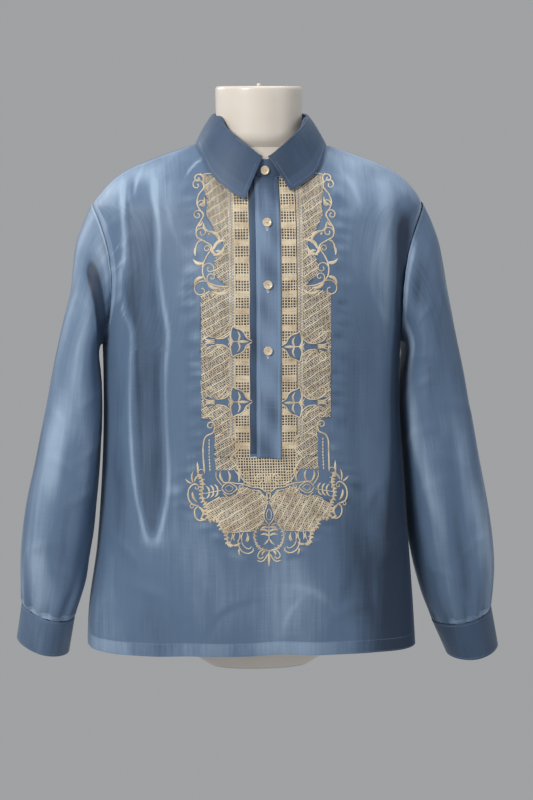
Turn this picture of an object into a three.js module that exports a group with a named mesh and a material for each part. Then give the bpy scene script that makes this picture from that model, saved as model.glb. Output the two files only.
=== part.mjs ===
// A barong tagalog, the formal pullover shirt of the Philippines, worn by a headless and armless dress form.
// Sizes are in millimetres. +Z is up, the front faces -Y, and +X is on the right of someone who looks at the front.
// Left and right in names are the wearer's, so the wearer's right side is at -X.
// The cloth is built from its inner face, and its thickness is added outwards.
import * as THREE from 'three';

const SHIRT_CLOTH = 1.2;
const COLLAR_CLOTH = 1.6;
const CUFF_CLOTH = 1.8;
const PLACKET_CLOTH = 1.4;
const SEAM_GAP = 0.5;
const FORM_GAP = 1.2;
const PLACKET_OUT = SHIRT_CLOTH + SEAM_GAP + 0.3;
const BUTTON_GAP = 0.4;
const HEM_LIFT = 12;
const SQUARENESS = 2.5;

const NECK_HALF = 77;
const NECK_FRONT = 84;
const NECK_BACK = 70;
const SHOULDER_TIP = 666;
const ARMPIT = 466;
const ARMHOLE_DEPTH = 66;
const VENT_TOP = 165;
const VENT_GAPE = 13;
const SHIRT_TOP = 775;
const FRONT_HEM = 31;
const SIDE_HEM = { right: 25, left: 20 };
const BACK_HEM = 17;
const SEAM_FORWARD = 11;

const SLOT_LEFT = -24;
const SLOT_RIGHT = 18;
const SLOT_BOTTOM = 322;

// How far the shirt's body stands out from the form's axis at each height: to the wearer's right (-X), to the
// wearer's left (+X), to the front and to the back. Above the shoulder tip, the two sides are the shoulder line.
const BODY = [
  { z: 0, right: 253, left: 232, front: 133, back: 122 },
  { z: 80, right: 249, left: 226, front: 134, back: 124 },
  { z: 165, right: 237, left: 219, front: 134, back: 126 },
  { z: 250, right: 230, left: 212, front: 133, back: 126 },
  { z: 330, right: 226, left: 206, front: 132, back: 125 },
  { z: 400, right: 225, left: 203, front: 131, back: 124 },
  { z: 466, right: 226, left: 205, front: 131, back: 124 },
  { z: 520, right: 230, left: 213, front: 131, back: 124 },
  { z: 566, right: 233, left: 220, front: 129, back: 125 },
  { z: 620, right: 236, left: 228, front: 121, back: 122 },
  { z: 650, right: 237, left: 233, front: 113, back: 118 },
  { z: 666, right: 237, left: 234, front: 107, back: 115 },
  { z: 680, right: 227, left: 227, front: 100, back: 111 },
  { z: 692, right: 217, left: 217, front: 93, back: 107 },
  { z: 704, right: 204, left: 204, front: 84, back: 103 },
  { z: 715, right: 186, left: 187, front: 76, back: 98 },
  { z: 727, right: 158, left: 159, front: 69, back: 92 },
  { z: 739, right: 125, left: 126, front: 61, back: 86 },
  { z: 750, right: 92, left: 92, front: 53, back: 80 },
  { z: 758, right: 70, left: 70, front: 44, back: 75 },
  { z: 768, right: 50, left: 50, front: 32, back: 70 },
  { z: 775, right: 36, left: 36, front: 24, back: 66 },
];

// The long soft folds that the stiff sheer cloth hangs in. Each one follows an upright line of its panel, and is
// so wide, stands out so far (a hollow is negative), and runs between two heights.
const FRONT_FOLDS = [
  { line: -203, width: 11, depth: 5, top: 690, bottom: 150 },
  { line: -184, width: 11, depth: -4, top: 660, bottom: 120 },
  { line: -166, width: 11, depth: 4, top: 670, bottom: 90 },
  { line: -148, width: 11, depth: -3, top: 600, bottom: 60 },
  { line: 148, width: 11, depth: -2, top: 560, bottom: 60 },
  { line: 166, width: 11, depth: 4, top: 680, bottom: 70 },
  { line: 184, width: 11, depth: -6, top: 695, bottom: 120 },
  { line: 203, width: 11, depth: 3, top: 600, bottom: 100 },
];
const BACK_FOLDS = [
  { line: -166, width: 14, depth: 4, top: 650, bottom: 60 },
  { line: -130, width: 14, depth: -4, top: 640, bottom: 40 },
  { line: -54.4, width: 15, depth: -4, top: 560, bottom: 30 },
  { line: 54.4, width: 15, depth: -4, top: 580, bottom: 30 },
  { line: 130, width: 14, depth: -4, top: 640, bottom: 40 },
  { line: 166, width: 14, depth: 4, top: 650, bottom: 60 },
];

// Sleeve sections, from the armhole to the cuff. Each one runs from its inner point, beside the body, to its
// outer point. Depth is half of its size from front to back, y is how far its middle lies behind the axis, and dip
// is how steeply it drops towards the front.
const RIGHT_SLEEVE = [
  { inX: 231, inZ: 465.5, outX: 250, outZ: 642, depth: 68, y: 0, dip: 0 },
  { inX: 232.8, inZ: 463.5, outX: 262, outZ: 610, depth: 70, y: 0, dip: 0 },
  { inX: 234, inZ: 459.5, outX: 267, outZ: 575, depth: 73, y: 0, dip: 0 },
  { inX: 234, inZ: 452, outX: 271, outZ: 540, depth: 75, y: 0, dip: 0 },
  { inX: 233.2, inZ: 442, outX: 280, outZ: 505, depth: 77, y: 0, dip: 0 },
  { inX: 231.6, inZ: 428, outX: 289, outZ: 465, depth: 78, y: 0, dip: 0 },
  { inX: 229.8, inZ: 406, outX: 298, outZ: 422, depth: 78, y: 0, dip: 0 },
  { inX: 229.4, inZ: 368, outX: 307, outZ: 377, depth: 77, y: -2, dip: 0 },
  { inX: 231.5, inZ: 325, outX: 317, outZ: 333, depth: 75, y: -4, dip: 0 },
  { inX: 234.5, inZ: 280, outX: 326, outZ: 290, depth: 72, y: -5, dip: 0 },
  { inX: 239, inZ: 235, outX: 336, outZ: 247, depth: 69, y: -5, dip: 0 },
  { inX: 243.5, inZ: 193, outX: 343, outZ: 207, depth: 66, y: -4, dip: 0.02 },
  { inX: 250, inZ: 155, outX: 347, outZ: 171, depth: 63, y: -2, dip: 0.04 },
  { inX: 255, inZ: 122, outX: 348.5, outZ: 139, depth: 60, y: 0, dip: 0.06 },
  { inX: 262.5, inZ: 95, outX: 348.5, outZ: 112, depth: 57, y: 2, dip: 0.08 },
  { inX: 269.5, inZ: 75.5, outX: 348, outZ: 95, depth: 53, y: 3, dip: 0.1 },
  { inX: 273, inZ: 63.5, outX: 347, outZ: 85.5, depth: 50, y: 4, dip: 0.1 },
];
const LEFT_SLEEVE = [
  { inX: 210.5, inZ: 465.5, outX: 248, outZ: 642, depth: 68, y: 0, dip: 0 },
  { inX: 212.2, inZ: 463.5, outX: 259, outZ: 612, depth: 70, y: 0, dip: 0 },
  { inX: 213.2, inZ: 459.5, outX: 266, outZ: 578, depth: 73, y: 0, dip: 0 },
  { inX: 213.2, inZ: 452, outX: 271, outZ: 545, depth: 76, y: 0, dip: 0 },
  { inX: 212.4, inZ: 442, outX: 278, outZ: 508, depth: 78, y: 0, dip: 0 },
  { inX: 210.6, inZ: 428, outX: 286, outZ: 466, depth: 79, y: 0, dip: 0 },
  { inX: 208, inZ: 406, outX: 296, outZ: 421, depth: 79, y: 0, dip: 0 },
  { inX: 207.6, inZ: 368, outX: 305, outZ: 377, depth: 78, y: 0, dip: 0 },
  { inX: 210.5, inZ: 325, outX: 314.5, outZ: 335, depth: 76, y: 0, dip: 0 },
  { inX: 214.5, inZ: 280, outX: 323.5, outZ: 290, depth: 74, y: 0, dip: 0 },
  { inX: 218, inZ: 232, outX: 333, outZ: 245, depth: 71, y: 0, dip: 0 },
  { inX: 221.5, inZ: 188, outX: 341, outZ: 203, depth: 68, y: 1, dip: 0.02 },
  { inX: 228, inZ: 149, outX: 346.5, outZ: 164, depth: 65, y: 2, dip: 0.04 },
  { inX: 236.5, inZ: 114, outX: 349, outZ: 130, depth: 61, y: 3, dip: 0.06 },
  { inX: 246, inZ: 83, outX: 348.5, outZ: 100, depth: 57, y: 4, dip: 0.08 },
  { inX: 255.5, inZ: 61, outX: 347, outZ: 80, depth: 53, y: 5, dip: 0.1 },
  { inX: 260.5, inZ: 48, outX: 346.5, outZ: 66.5, depth: 50, y: 6, dip: 0.1 },
];
// How much of the armhole's hollowed outline each section after the armhole itself still keeps.
const ARMHOLE_FADE = [0.72, 0.45, 0.22, 0.08];

// Long folds of a sleeve: the angle round it (0 outside, 90 in front), the width in degrees, how far it stands
// out, and the share of the sleeve's length where it starts and ends.
const SLEEVE_FOLDS = [
  { angle: 52, width: 15, depth: 4, from: 0.12, to: 0.98 },
  { angle: 80, width: 13, depth: -5, from: 0.2, to: 0.9 },
  { angle: 112, width: 14, depth: 4, from: 0.25, to: 0.97 },
  { angle: 236, width: 16, depth: -4, from: 0.2, to: 0.9 },
  { angle: 275, width: 16, depth: 4, from: 0.25, to: 0.97 },
];
const CUFF_PLEATS = { from: 35, to: 125, count: 3, depth: 3.2, start: 0.8 };

const RIGHT_CUFF = {
  top: { inX: 273, inZ: 62.4, outX: 347, outZ: 84.4, depth: 50, y: 4, dip: 0.1 },
  bottom: { inX: 282, inZ: 10.5, outX: 355, outZ: 31.5, depth: 49, y: 7, dip: 0.1 },
};
const LEFT_CUFF = {
  top: { inX: 260.5, inZ: 46.9, outX: 346.5, outZ: 65.4, depth: 50, y: 6, dip: 0.1 },
  bottom: { inX: 284, inZ: -5, outX: 358, outZ: 7, depth: 48, y: 9, dip: 0.13 },
};
const CUFF_SQUARENESS = 1.75;
const CUFF_OVERLAP = 26;

// The collar's fold line round the neck. Turn is the angle from the centre back.
const FOLD_LINE = { half: 69, front: 84, back: 66, shift: 2 };
const FOLD_HEIGHT = [
  { turn: 0, z: 794 },
  { turn: 60, z: 793 },
  { turn: 90, z: 790 },
  { turn: 110, z: 786 },
  { turn: 130, z: 777 },
  { turn: 150, z: 761.5 },
  { turn: 165, z: 746 },
  { turn: 177, z: 734 },
  { turn: 190, z: 732 },
];
// The collar's outer edge on each side, seen from above, and how far it stays off the shirt below it.
const LEAF_EDGE = [
  { turn: 0, rightX: 0, rightY: 87, leftX: 0, leftY: 87, off: 2 },
  { turn: 40, rightX: 63, rightY: 66, leftX: 63, leftY: 66, off: 2 },
  { turn: 70, rightX: 82.5, rightY: 31, leftX: 85.5, leftY: 31, off: 2 },
  { turn: 90, rightX: 87, rightY: -2, leftX: 90, leftY: -2, off: 2.2 },
  { turn: 110, rightX: 87, rightY: -36, leftX: 89, leftY: -34, off: 3 },
  { turn: 130, rightX: 79, rightY: -66, leftX: 82, leftY: -61, off: 3.6 },
  { turn: 150, rightX: 63, rightY: -87, leftX: 68, leftY: -80, off: 4.2 },
  { turn: 165, rightX: 45, rightY: -98, leftX: 51, leftY: -91, off: 4.6 },
  { turn: 177, rightX: 28, rightY: -104, leftX: 34, leftY: -97.5, off: 5 },
];
const LEAF_END = 177;
const STAND_LAP = 8;

// The dress form: half of its width, and its reach to the front and to the back, at each height. Where these
// are larger than the shirt allows, the form stops just under the cloth: that is where it carries the shirt.
const FORM = [
  { z: -12, half: 72, front: 40, back: 48 },
  { z: -2, half: 88, front: 52, back: 58 },
  { z: 22, half: 120, front: 75, back: 79 },
  { z: 60, half: 146, front: 94, back: 95 },
  { z: 120, half: 161, front: 103, back: 106 },
  { z: 200, half: 160, front: 101, back: 104 },
  { z: 300, half: 151, front: 97, back: 98 },
  { z: 380, half: 152, front: 99, back: 99 },
  { z: 460, half: 165, front: 106, back: 106 },
  { z: 540, half: 181, front: 112, back: 112 },
  { z: 600, half: 191, front: 111, back: 115 },
  { z: 650, half: 197, front: 104, back: 112 },
  { z: 680, half: 198, front: 93, back: 107 },
  { z: 700, half: 196, front: 82, back: 104 },
  { z: 715, half: 189, front: 73, back: 98 },
  { z: 730, half: 149, front: 62.5, back: 86 },
  { z: 742, half: 103, front: 53, back: 77 },
  { z: 750, half: 76, front: 54.5, back: 69 },
  { z: 755, half: 68, front: 57, back: 65.5 },
  { z: 760, half: 66, front: 60, back: 63.5 },
  { z: 772, half: 62.5, front: 60, back: 61 },
  { z: 829, half: 62.5, front: 60, back: 60 },
];
const NECK_TOP = 834;
const NECK_EDGE = 5;
const NECK_PIN = { radius: 2.8, height: 3.6 };

const BUTTON = { radius: 6.2, thickness: 2.6, rim: 0.7, dish: 3.6 };
const PLACKET_BUTTONS = [
  { name: 'button_upper', z: 644 },
  { name: 'button_middle', z: 559 },
  { name: 'button_lower', z: 467 },
];
const BUTTON_SIDE = 1;

const COLOURS = {
  cloth: { color: 0x5f7590, roughness: 0.5, metalness: 0 },
  thread: { color: 0xd2bd96, roughness: 0.6, metalness: 0 },
  shell: { color: 0xe2cfae, roughness: 0.35, metalness: 0 },
  form: { color: 0xd9cfc6, roughness: 0.4, metalness: 0 },
};

const radians = THREE.MathUtils.degToRad;
const clamp = THREE.MathUtils.clamp;
const lerp = THREE.MathUtils.lerp;
const smooth = (x, from, to) => THREE.MathUtils.smoothstep(x, from, to);
const point = (x, y, z) => new THREE.Vector3(x, y, z);

// A smooth curve through one column of a table, read at any place along the table's key.
function read(rows, key, at, column) {
  const last = rows.length - 1;
  const x = clamp(at, rows[0][key], rows[last][key]);
  let i = 0;
  while (i < last - 1 && x > rows[i + 1][key]) i += 1;
  const slope = (k) => {
    const a = rows[Math.max(k - 1, 0)];
    const b = rows[Math.min(k + 1, last)];
    return (b[column] - a[column]) / (b[key] - a[key]);
  };
  const step = rows[i + 1][key] - rows[i][key];
  const t = (x - rows[i][key]) / step;
  const [t2, t3] = [t * t, t * t * t];
  return (
    rows[i][column] * (2 * t3 - 3 * t2 + 1) +
    rows[i + 1][column] * (3 * t2 - 2 * t3) +
    step * slope(i) * (t3 - 2 * t2 + t) +
    step * slope(i + 1) * (t3 - t2)
  );
}

// Where a value that rises with x passes zero.
function solve(value, low, high) {
  let [a, b] = [low, high];
  for (let i = 0; i < 40; i += 1) {
    const middle = (a + b) / 2;
    if (value(middle) > 0) b = middle;
    else a = middle;
  }
  return (a + b) / 2;
}

// Points along a line of points, evenly spaced, or closer together towards its end.
function spread(line, count, closing = 1) {
  const along = [0];
  for (let i = 1; i < line.length; i += 1) along.push(along[i - 1] + line[i].distanceTo(line[i - 1]));
  const total = along[along.length - 1];
  const even = [];
  let i = 1;
  for (let k = 0; k < count; k += 1) {
    const at = total * (1 - (1 - k / (count - 1)) ** closing);
    while (i < line.length - 1 && along[i] < at) i += 1;
    const share = (at - along[i - 1]) / Math.max(along[i] - along[i - 1], 1e-9);
    even.push(line[i - 1].clone().lerp(line[i], clamp(share, 0, 1)));
  }
  return even;
}

// The direction that a grid of points faces at each point.
function facing(grid, wrapped, outside) {
  const rows = grid.length;
  const columns = grid[0].length;
  const near = (j) => (wrapped ? (j + columns) % columns : clamp(j, 0, columns - 1));
  let side = 0;
  const normals = grid.map((row, i) =>
    row.map((p, j) => {
      const up = grid[Math.min(i + 1, rows - 1)][j].clone().sub(grid[Math.max(i - 1, 0)][j]);
      const across = row[near(j + 1)].clone().sub(row[near(j - 1)]);
      const normal = across.cross(up).normalize();
      side += normal.dot(outside(p)) > 0 ? 1 : -1;
      return normal;
    }),
  );
  return { normals, side: Math.sign(side) };
}

// A wall of cloth from its inner face. Cells that keep refuses are left out, and every free edge is closed.
function wall(grid, thickness, { wrapped = false, outside = fromAxis, keep = () => true, lean = null } = {}) {
  const { normals, side } = facing(grid, wrapped, outside);
  const rows = grid.length;
  const columns = grid[0].length;
  const positions = [];
  for (const layer of [0, thickness]) {
    grid.forEach((row, i) =>
      row.forEach((p, j) => {
        const normal = normals[i][j].clone().multiplyScalar(side);
        const direction = lean ? lean(normal, i, j) : normal;
        positions.push(...p.clone().addScaledVector(direction, layer).toArray());
      }),
    );
  }
  const outer = rows * columns;
  const faces = [];
  const edges = new Map();
  const spans = wrapped ? columns : columns - 1;
  const quad = (a, b, c, d) => faces.push(a, b, c, a, c, d);
  for (let i = 0; i < rows - 1; i += 1) {
    for (let j = 0; j < spans; j += 1) {
      if (keep(i, j)) {
        const k = (j + 1) % columns;
        const round = [i * columns + j, i * columns + k, (i + 1) * columns + k, (i + 1) * columns + j];
        if (side < 0) round.reverse();
        const [a, b, c, d] = round;
        quad(a + outer, b + outer, c + outer, d + outer);
        quad(d, c, b, a);
        round.forEach((from, n) => {
          const to = round[(n + 1) % 4];
          if (!edges.delete(`${to} ${from}`)) edges.set(`${from} ${to}`, [from, to]);
        });
      }
    }
  }
  for (const [from, to] of edges.values()) quad(from, to, to + outer, from + outer);
  return solid(positions, faces);
}

function solid(positions, faces) {
  const geometry = new THREE.BufferGeometry();
  geometry.setAttribute('position', new THREE.Float32BufferAttribute(positions, 3));
  geometry.setIndex(faces);
  const plain = geometry.toNonIndexed();
  plain.computeVertexNormals();
  return plain;
}

function fromAxis(p) {
  return point(p.x, p.y, 0);
}

// The reach of an oval with squared corners, in the direction that its cosine and sine give.
function reach(cosine, sine, half, depth, squareness) {
  return (Math.abs(cosine / half) ** squareness + Math.abs(sine / depth) ** squareness) ** (-1 / squareness);
}

const bodySide = (x, z) => read(BODY, 'z', z, x < 0 ? 'right' : 'left');
const bodyDepth = (isFront, z) => read(BODY, 'z', z, isFront ? 'front' : 'back');

// How far the shirt stands out from the axis plane at a place seen from the front, without its folds.
function plainDepth(isFront, x, z) {
  const across = Math.abs(x) / bodySide(x, z);
  if (across >= 1) return 0;
  return bodyDepth(isFront, z) * (1 - across ** SQUARENESS) ** (1 / SQUARENESS);
}

function foldDepth(isFront, line, z) {
  const folds = isFront ? FRONT_FOLDS : BACK_FOLDS;
  const sideFade = 1 - smooth(Math.abs(line), 210, 232);
  return folds.reduce((sum, fold) => {
    const down = clamp((fold.top - z) / (fold.top - fold.bottom), 0, 1);
    const strength = Math.sin(Math.PI * down) ** 0.7;
    const off = (line - fold.line) / fold.width;
    return sum + fold.depth * sideFade * strength * Math.exp(-off * off);
  }, 0);
}

// A point of the shirt's inner face, at x across and z up, on the front or on the back. Its upright line is named
// by its x at the shoulder tip, which is the same x all the way down where the panel is no wider than the neck.
function bodyPoint(isFront, x, z, line = x) {
  const depth = plainDepth(isFront, x, z) + foldDepth(isFront, line, z);
  return point(x, isFront ? -depth : depth, z);
}

function frontNormal(x, z) {
  const step = 2;
  const across = bodyPoint(true, x + step, z).sub(bodyPoint(true, x - step, z));
  const up = bodyPoint(true, x, z + step).sub(bodyPoint(true, x, z - step));
  return across.cross(up).normalize();
}

// A place on the front, moved out from the shirt's inner face.
function overFront(x, z, out) {
  return bodyPoint(true, x, z).addScaledVector(frontNormal(x, z), out);
}

// The height of the shirt at a place seen from above, on its shoulders and round its neck.
function heightAt(x, y) {
  const past = (z) => (Math.abs(x) / bodySide(x, z)) ** SQUARENESS
    + (Math.abs(y) / bodyDepth(y < 0, z)) ** SQUARENESS - 1;
  return solve(past, 600, SHIRT_TOP);
}

const armholeDepth = (z) => {
  const middle = (SHOULDER_TIP + ARMPIT) / 2;
  const across = (z - middle) / (SHOULDER_TIP - middle);
  return across * across < 1 ? ARMHOLE_DEPTH * Math.sqrt(1 - across * across) : 0;
};

// How far the edge of a panel lies from the side seam's plane: nothing along the seam itself, and more along
// the armhole and down the open side vent.
function edgeDepth(z) {
  const vent = z < VENT_TOP ? VENT_GAPE * ((VENT_TOP - z) / VENT_TOP) ** 1.3 : 0;
  return Math.max(SEAM_GAP / 2, armholeDepth(z), vent + SEAM_GAP / 2);
}

function polar(isFront, side, angle, z) {
  const half = bodySide(side, z);
  const r = reach(Math.sin(angle), Math.cos(angle), half, bodyDepth(isFront, z), SQUARENESS);
  return side * r * Math.sin(angle);
}

// Each upright line of a panel is named by its x at the shoulder tip. Within the neck it is straight, and past
// the neck it keeps its share of the way to the panel's edge.
function lineX(isFront, x0, z) {
  if (Math.abs(x0) <= NECK_HALF || z >= SHOULDER_TIP) return x0;
  const side = Math.sign(x0);
  const depth = (x, height) => plainDepth(isFront, x, height);
  const angleOf = (x, height) => Math.atan2(Math.abs(x), depth(x, height));
  const neckAngle = (height) => angleOf(side * NECK_HALF, height);
  const tipAngle = Math.atan2(bodySide(side, SHOULDER_TIP), SEAM_GAP / 2);
  const share = (angleOf(x0, SHOULDER_TIP) - neckAngle(SHOULDER_TIP)) / (tipAngle - neckAngle(SHOULDER_TIP));
  const edge = edgeDepth(z);
  const front = bodyDepth(isFront, z);
  const edgeX = bodySide(side, z) * (1 - (edge / front) ** SQUARENESS) ** (1 / SQUARENESS);
  const edgeAngle = Math.atan2(edgeX, edge);
  const clamped = clamp(share, 0, 1);
  return polar(isFront, side, neckAngle(z) + clamped * (edgeAngle - neckAngle(z)), z);
}

function inNeck(p) {
  const depth = p.y < 0 ? NECK_FRONT : NECK_BACK;
  return (p.x / NECK_HALF) ** 2 + (p.y / depth) ** 2 < 1;
}

// The shoulder seam lies a little in front of the shoulder line, and meets it at the neck and at the tip.
function seamForward(x) {
  const share = clamp((Math.abs(x) - NECK_HALF) / (bodySide(x, SHOULDER_TIP) - NECK_HALF), 0, 1);
  return SEAM_FORWARD * Math.sin(Math.PI * share) ** 0.6;
}

function hemHeight(isFront, x0) {
  const centre = isFront ? FRONT_HEM : BACK_HEM;
  const across = Math.abs(x0) / bodySide(x0, SHOULDER_TIP);
  const ripple = 1.6 * Math.sin(x0 / 21 + (isFront ? 0.6 : 2)) * (1 - across);
  return lerp(centre, x0 < 0 ? SIDE_HEM.right : SIDE_HEM.left, across * across) + ripple;
}

const LOWER_LEVELS = [66, 112, 165, 218, 270, SLOT_BOTTOM, 378, 435];

// One upright line of a panel, from the hem to the shoulder seam or the neckline.
function panelLine(isFront, x0, upperCount) {
  const tip = bodySide(x0, SHOULDER_TIP);
  const split = LOWER_LEVELS[LOWER_LEVELS.length - 1];
  const ridge = Math.abs(x0) >= tip - 0.01
    ? SHOULDER_TIP
    : solve((z) => Math.abs(x0) - bodySide(x0, z), SHOULDER_TIP, SHIRT_TOP);
  const at = (z) => {
    const p = bodyPoint(isFront, lineX(isFront, x0, z), z, x0);
    if (Math.abs(p.y) < SEAM_GAP / 2) p.y = (isFront ? -1 : 1) * (SEAM_GAP / 2);
    return p;
  };
  const lower = [hemHeight(isFront, x0), ...LOWER_LEVELS].map(at);
  const steps = 500;
  const upper = [];
  const seamY = seamForward(x0);
  for (let i = 0; i <= steps; i += 1) {
    const z = ridge - (ridge - split) * (1 - i / steps) ** 2.2;
    const p = at(z);
    if (inNeck(p)) break;
    if (isFront && z > SHOULDER_TIP && -p.y < seamY + SEAM_GAP / 2) break;
    upper.push(p);
  }
  const overRidge = !isFront && Math.abs(x0) > NECK_HALF && Math.abs(x0) < tip - 0.01;
  if (overRidge) {
    const last = seamY - SEAM_GAP / 2;
    for (let k = 1; k <= 12; k += 1) {
      const y = (-last * k) / 12;
      upper.push(point(x0, y, heightAt(x0, y)));
    }
  }
  const closing = 1 + 0.45 * (1 - smooth(Math.abs(x0), 90, tip));
  return [...lower.slice(0, -1), ...spread(upper, upperCount, closing)];
}

const transpose = (lines) => lines[0].map((_, i) => lines.map((line) => line[i]));

function panelGrid(isFront, across, upperCount) {
  return transpose(across.map((x0) => panelLine(isFront, x0, upperCount)));
}

const SHOULDER_LINES = [95, 112, 130, 148, 166, 184, 203, 221];
const NECK_LINES = [66.7, 74.4, NECK_HALF];

function panelLines(inner) {
  const tips = [bodySide(-1, SHOULDER_TIP), bodySide(1, SHOULDER_TIP)];
  const right = [...NECK_LINES, ...SHOULDER_LINES, tips[0]].map((x) => -x).reverse();
  return [...right, ...inner, ...NECK_LINES, ...SHOULDER_LINES, tips[1]];
}

const FRONT_LINES = panelLines([-54.4, -40, SLOT_LEFT, SLOT_RIGHT, 36, 52.4]);

// The front is one piece, slit from the neck down for the placket.
function frontPanel(grid) {
  const slotColumn = FRONT_LINES.indexOf(SLOT_LEFT);
  const slotRow = LOWER_LEVELS.indexOf(SLOT_BOTTOM) + 1;
  const keep = (i, j) => j !== slotColumn || i < slotRow;
  return wall(grid, SHIRT_CLOTH, { keep });
}

function backPanel() {
  const lines = panelLines([-54.4, -38.5, -20, 0, 20, 38.5, 54.4]);
  return wall(panelGrid(false, lines, 14), SHIRT_CLOTH);
}

// A strip that lies on the front, between two x values and two heights, from one distance out to another.
function frontStrip(fromX, toX, bottom, top, inner, thickness, columns, rows) {
  const grid = [];
  for (let i = 0; i <= rows; i += 1) {
    const row = [];
    for (let j = 0; j <= columns; j += 1) {
      const x = lerp(fromX, toX, j / columns);
      const low = typeof bottom === 'function' ? bottom(x) : bottom;
      const high = typeof top === 'function' ? top(x) : top;
      row.push(overFront(x, lerp(low, high, i / rows), inner));
    }
    grid.push(row);
  }
  return wall(grid, thickness);
}

// The button side of the placket fills the slit and is level with the front. The buttonhole side covers it.
function placketUnder() {
  return frontStrip(SLOT_LEFT + SEAM_GAP, 12, SLOT_BOTTOM + SEAM_GAP, 702, 0, SHIRT_CLOTH, 3, 22);
}

function placketOver() {
  const bottom = (x) => 317 - (x + 15) * 0.09;
  return frontStrip(-15, 19.5, bottom, 702, PLACKET_OUT, PLACKET_CLOTH, 3, 24);
}

// One section of a sleeve or cuff, as seen along it. Angle 0 is its outer point and 90 is its front.
function section(row, side, count, squareness, swell = () => 0) {
  const inner = point(side * row.inX, row.y, row.inZ);
  const outer = point(side * row.outX, row.y, row.outZ);
  const middle = inner.clone().lerp(outer, 0.5);
  const along = outer.clone().sub(middle);
  const half = along.length();
  along.normalize();
  return Array.from({ length: count }, (_, k) => {
    const angle = (2 * Math.PI * k) / count;
    const r = reach(Math.cos(angle), Math.sin(angle), half, row.depth, squareness) + swell(angle);
    return middle.clone()
      .addScaledVector(along, r * Math.cos(angle))
      .add(point(0, -r * Math.sin(angle), -row.dip * r * Math.sin(angle)));
  });
}

const SLEEVE_POINTS = 26;

// The armhole's edge, just outside the shirt's body, at the same angles as the sleeve's sections.
function armhole(side) {
  const middle = (SHOULDER_TIP + ARMPIT) / 2;
  const high = (SHOULDER_TIP - ARMPIT) / 2;
  return Array.from({ length: SLEEVE_POINTS }, (_, k) => {
    const angle = (2 * Math.PI * k) / SLEEVE_POINTS;
    const z = middle + high * Math.cos(angle);
    const y = -ARMHOLE_DEPTH * Math.sin(angle);
    const isFront = y < 0;
    const across = (Math.abs(y) / bodyDepth(isFront, z)) ** SQUARENESS;
    const x = side * bodySide(side, z) * (1 - across) ** (1 / SQUARENESS);
    const out = point(x / bodySide(side, z) ** 2, y / bodyDepth(isFront, z) ** 2, 0).normalize();
    const upwards = z > 600 ? (z - 600) / (SHOULDER_TIP - 600) : 0;
    out.z = 0.5 * upwards;
    out.normalize();
    return { at: point(x, y, z).addScaledVector(out, SHIRT_CLOTH + SEAM_GAP + 0.35 + 0.8 * upwards), out };
  });
}

function sleeveSwell(share) {
  return (angle) => {
    const degrees = THREE.MathUtils.radToDeg(angle);
    const folds = SLEEVE_FOLDS.reduce((sum, fold) => {
      const strength = Math.sin(Math.PI * clamp((share - fold.from) / (fold.to - fold.from), 0, 1)) ** 0.8;
      const off = (degrees - fold.angle) / fold.width;
      return sum + fold.depth * strength * Math.exp(-off * off);
    }, 0);
    const across = (degrees - CUFF_PLEATS.from) / (CUFF_PLEATS.to - CUFF_PLEATS.from);
    const near = smooth(share, CUFF_PLEATS.start, 0.96) * (1 - smooth(share, 0.97, 1));
    const inside = across > 0 && across < 1;
    const pleats = inside ? CUFF_PLEATS.depth * near * Math.sin(2 * Math.PI * CUFF_PLEATS.count * across) : 0;
    return folds + pleats;
  };
}

// A sleeve is a tube from the armhole to the cuff. Near the armhole its sections keep the armhole's outline.
function sleeve(side, rows) {
  const hole = armhole(side);
  const first = { inX: Math.abs(hole[SLEEVE_POINTS / 2].at.x), inZ: hole[SLEEVE_POINTS / 2].at.z,
    outX: Math.abs(hole[0].at.x), outZ: hole[0].at.z, depth: ARMHOLE_DEPTH, y: 0, dip: 0 };
  const flat = section(first, side, SLEEVE_POINTS, 2);
  const bow = hole.map((edge, k) => edge.at.clone().sub(flat[k]));
  const grid = [hole.map((edge) => edge.at)];
  rows.forEach((row, n) => {
    const share = (n + 1) / rows.length;
    const squareness = lerp(lerp(2, 2.3, Math.min(1, share * 3)), CUFF_SQUARENESS, smooth(share, 0.78, 1));
    const kept = ARMHOLE_FADE[n] ?? 0;
    grid.push(section(row, side, SLEEVE_POINTS, squareness, sleeveSwell(share))
      .map((p, k) => p.addScaledVector(bow[k], kept)));
  });
  const middles = [first, ...rows].map((row) => point((side * (row.inX + row.outX)) / 2, row.y, 0));
  const spine = (p) => {
    const all = [first, ...rows];
    let best = 0;
    all.forEach((row, i) => {
      const gap = (q) => Math.abs((q.inZ + q.outZ) / 2 - p.z);
      if (gap(row) < gap(all[best])) best = i;
    });
    return point(p.x, p.y, 0).sub(middles[best]);
  };
  const lean = (normal, i, j) => {
    if (i > 0) return normal;
    const out = hole[j].out;
    return normal.clone().addScaledVector(out, -normal.dot(out)).normalize();
  };
  return wall(grid, SHIRT_CLOTH, { wrapped: true, outside: spine, lean });
}

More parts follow.
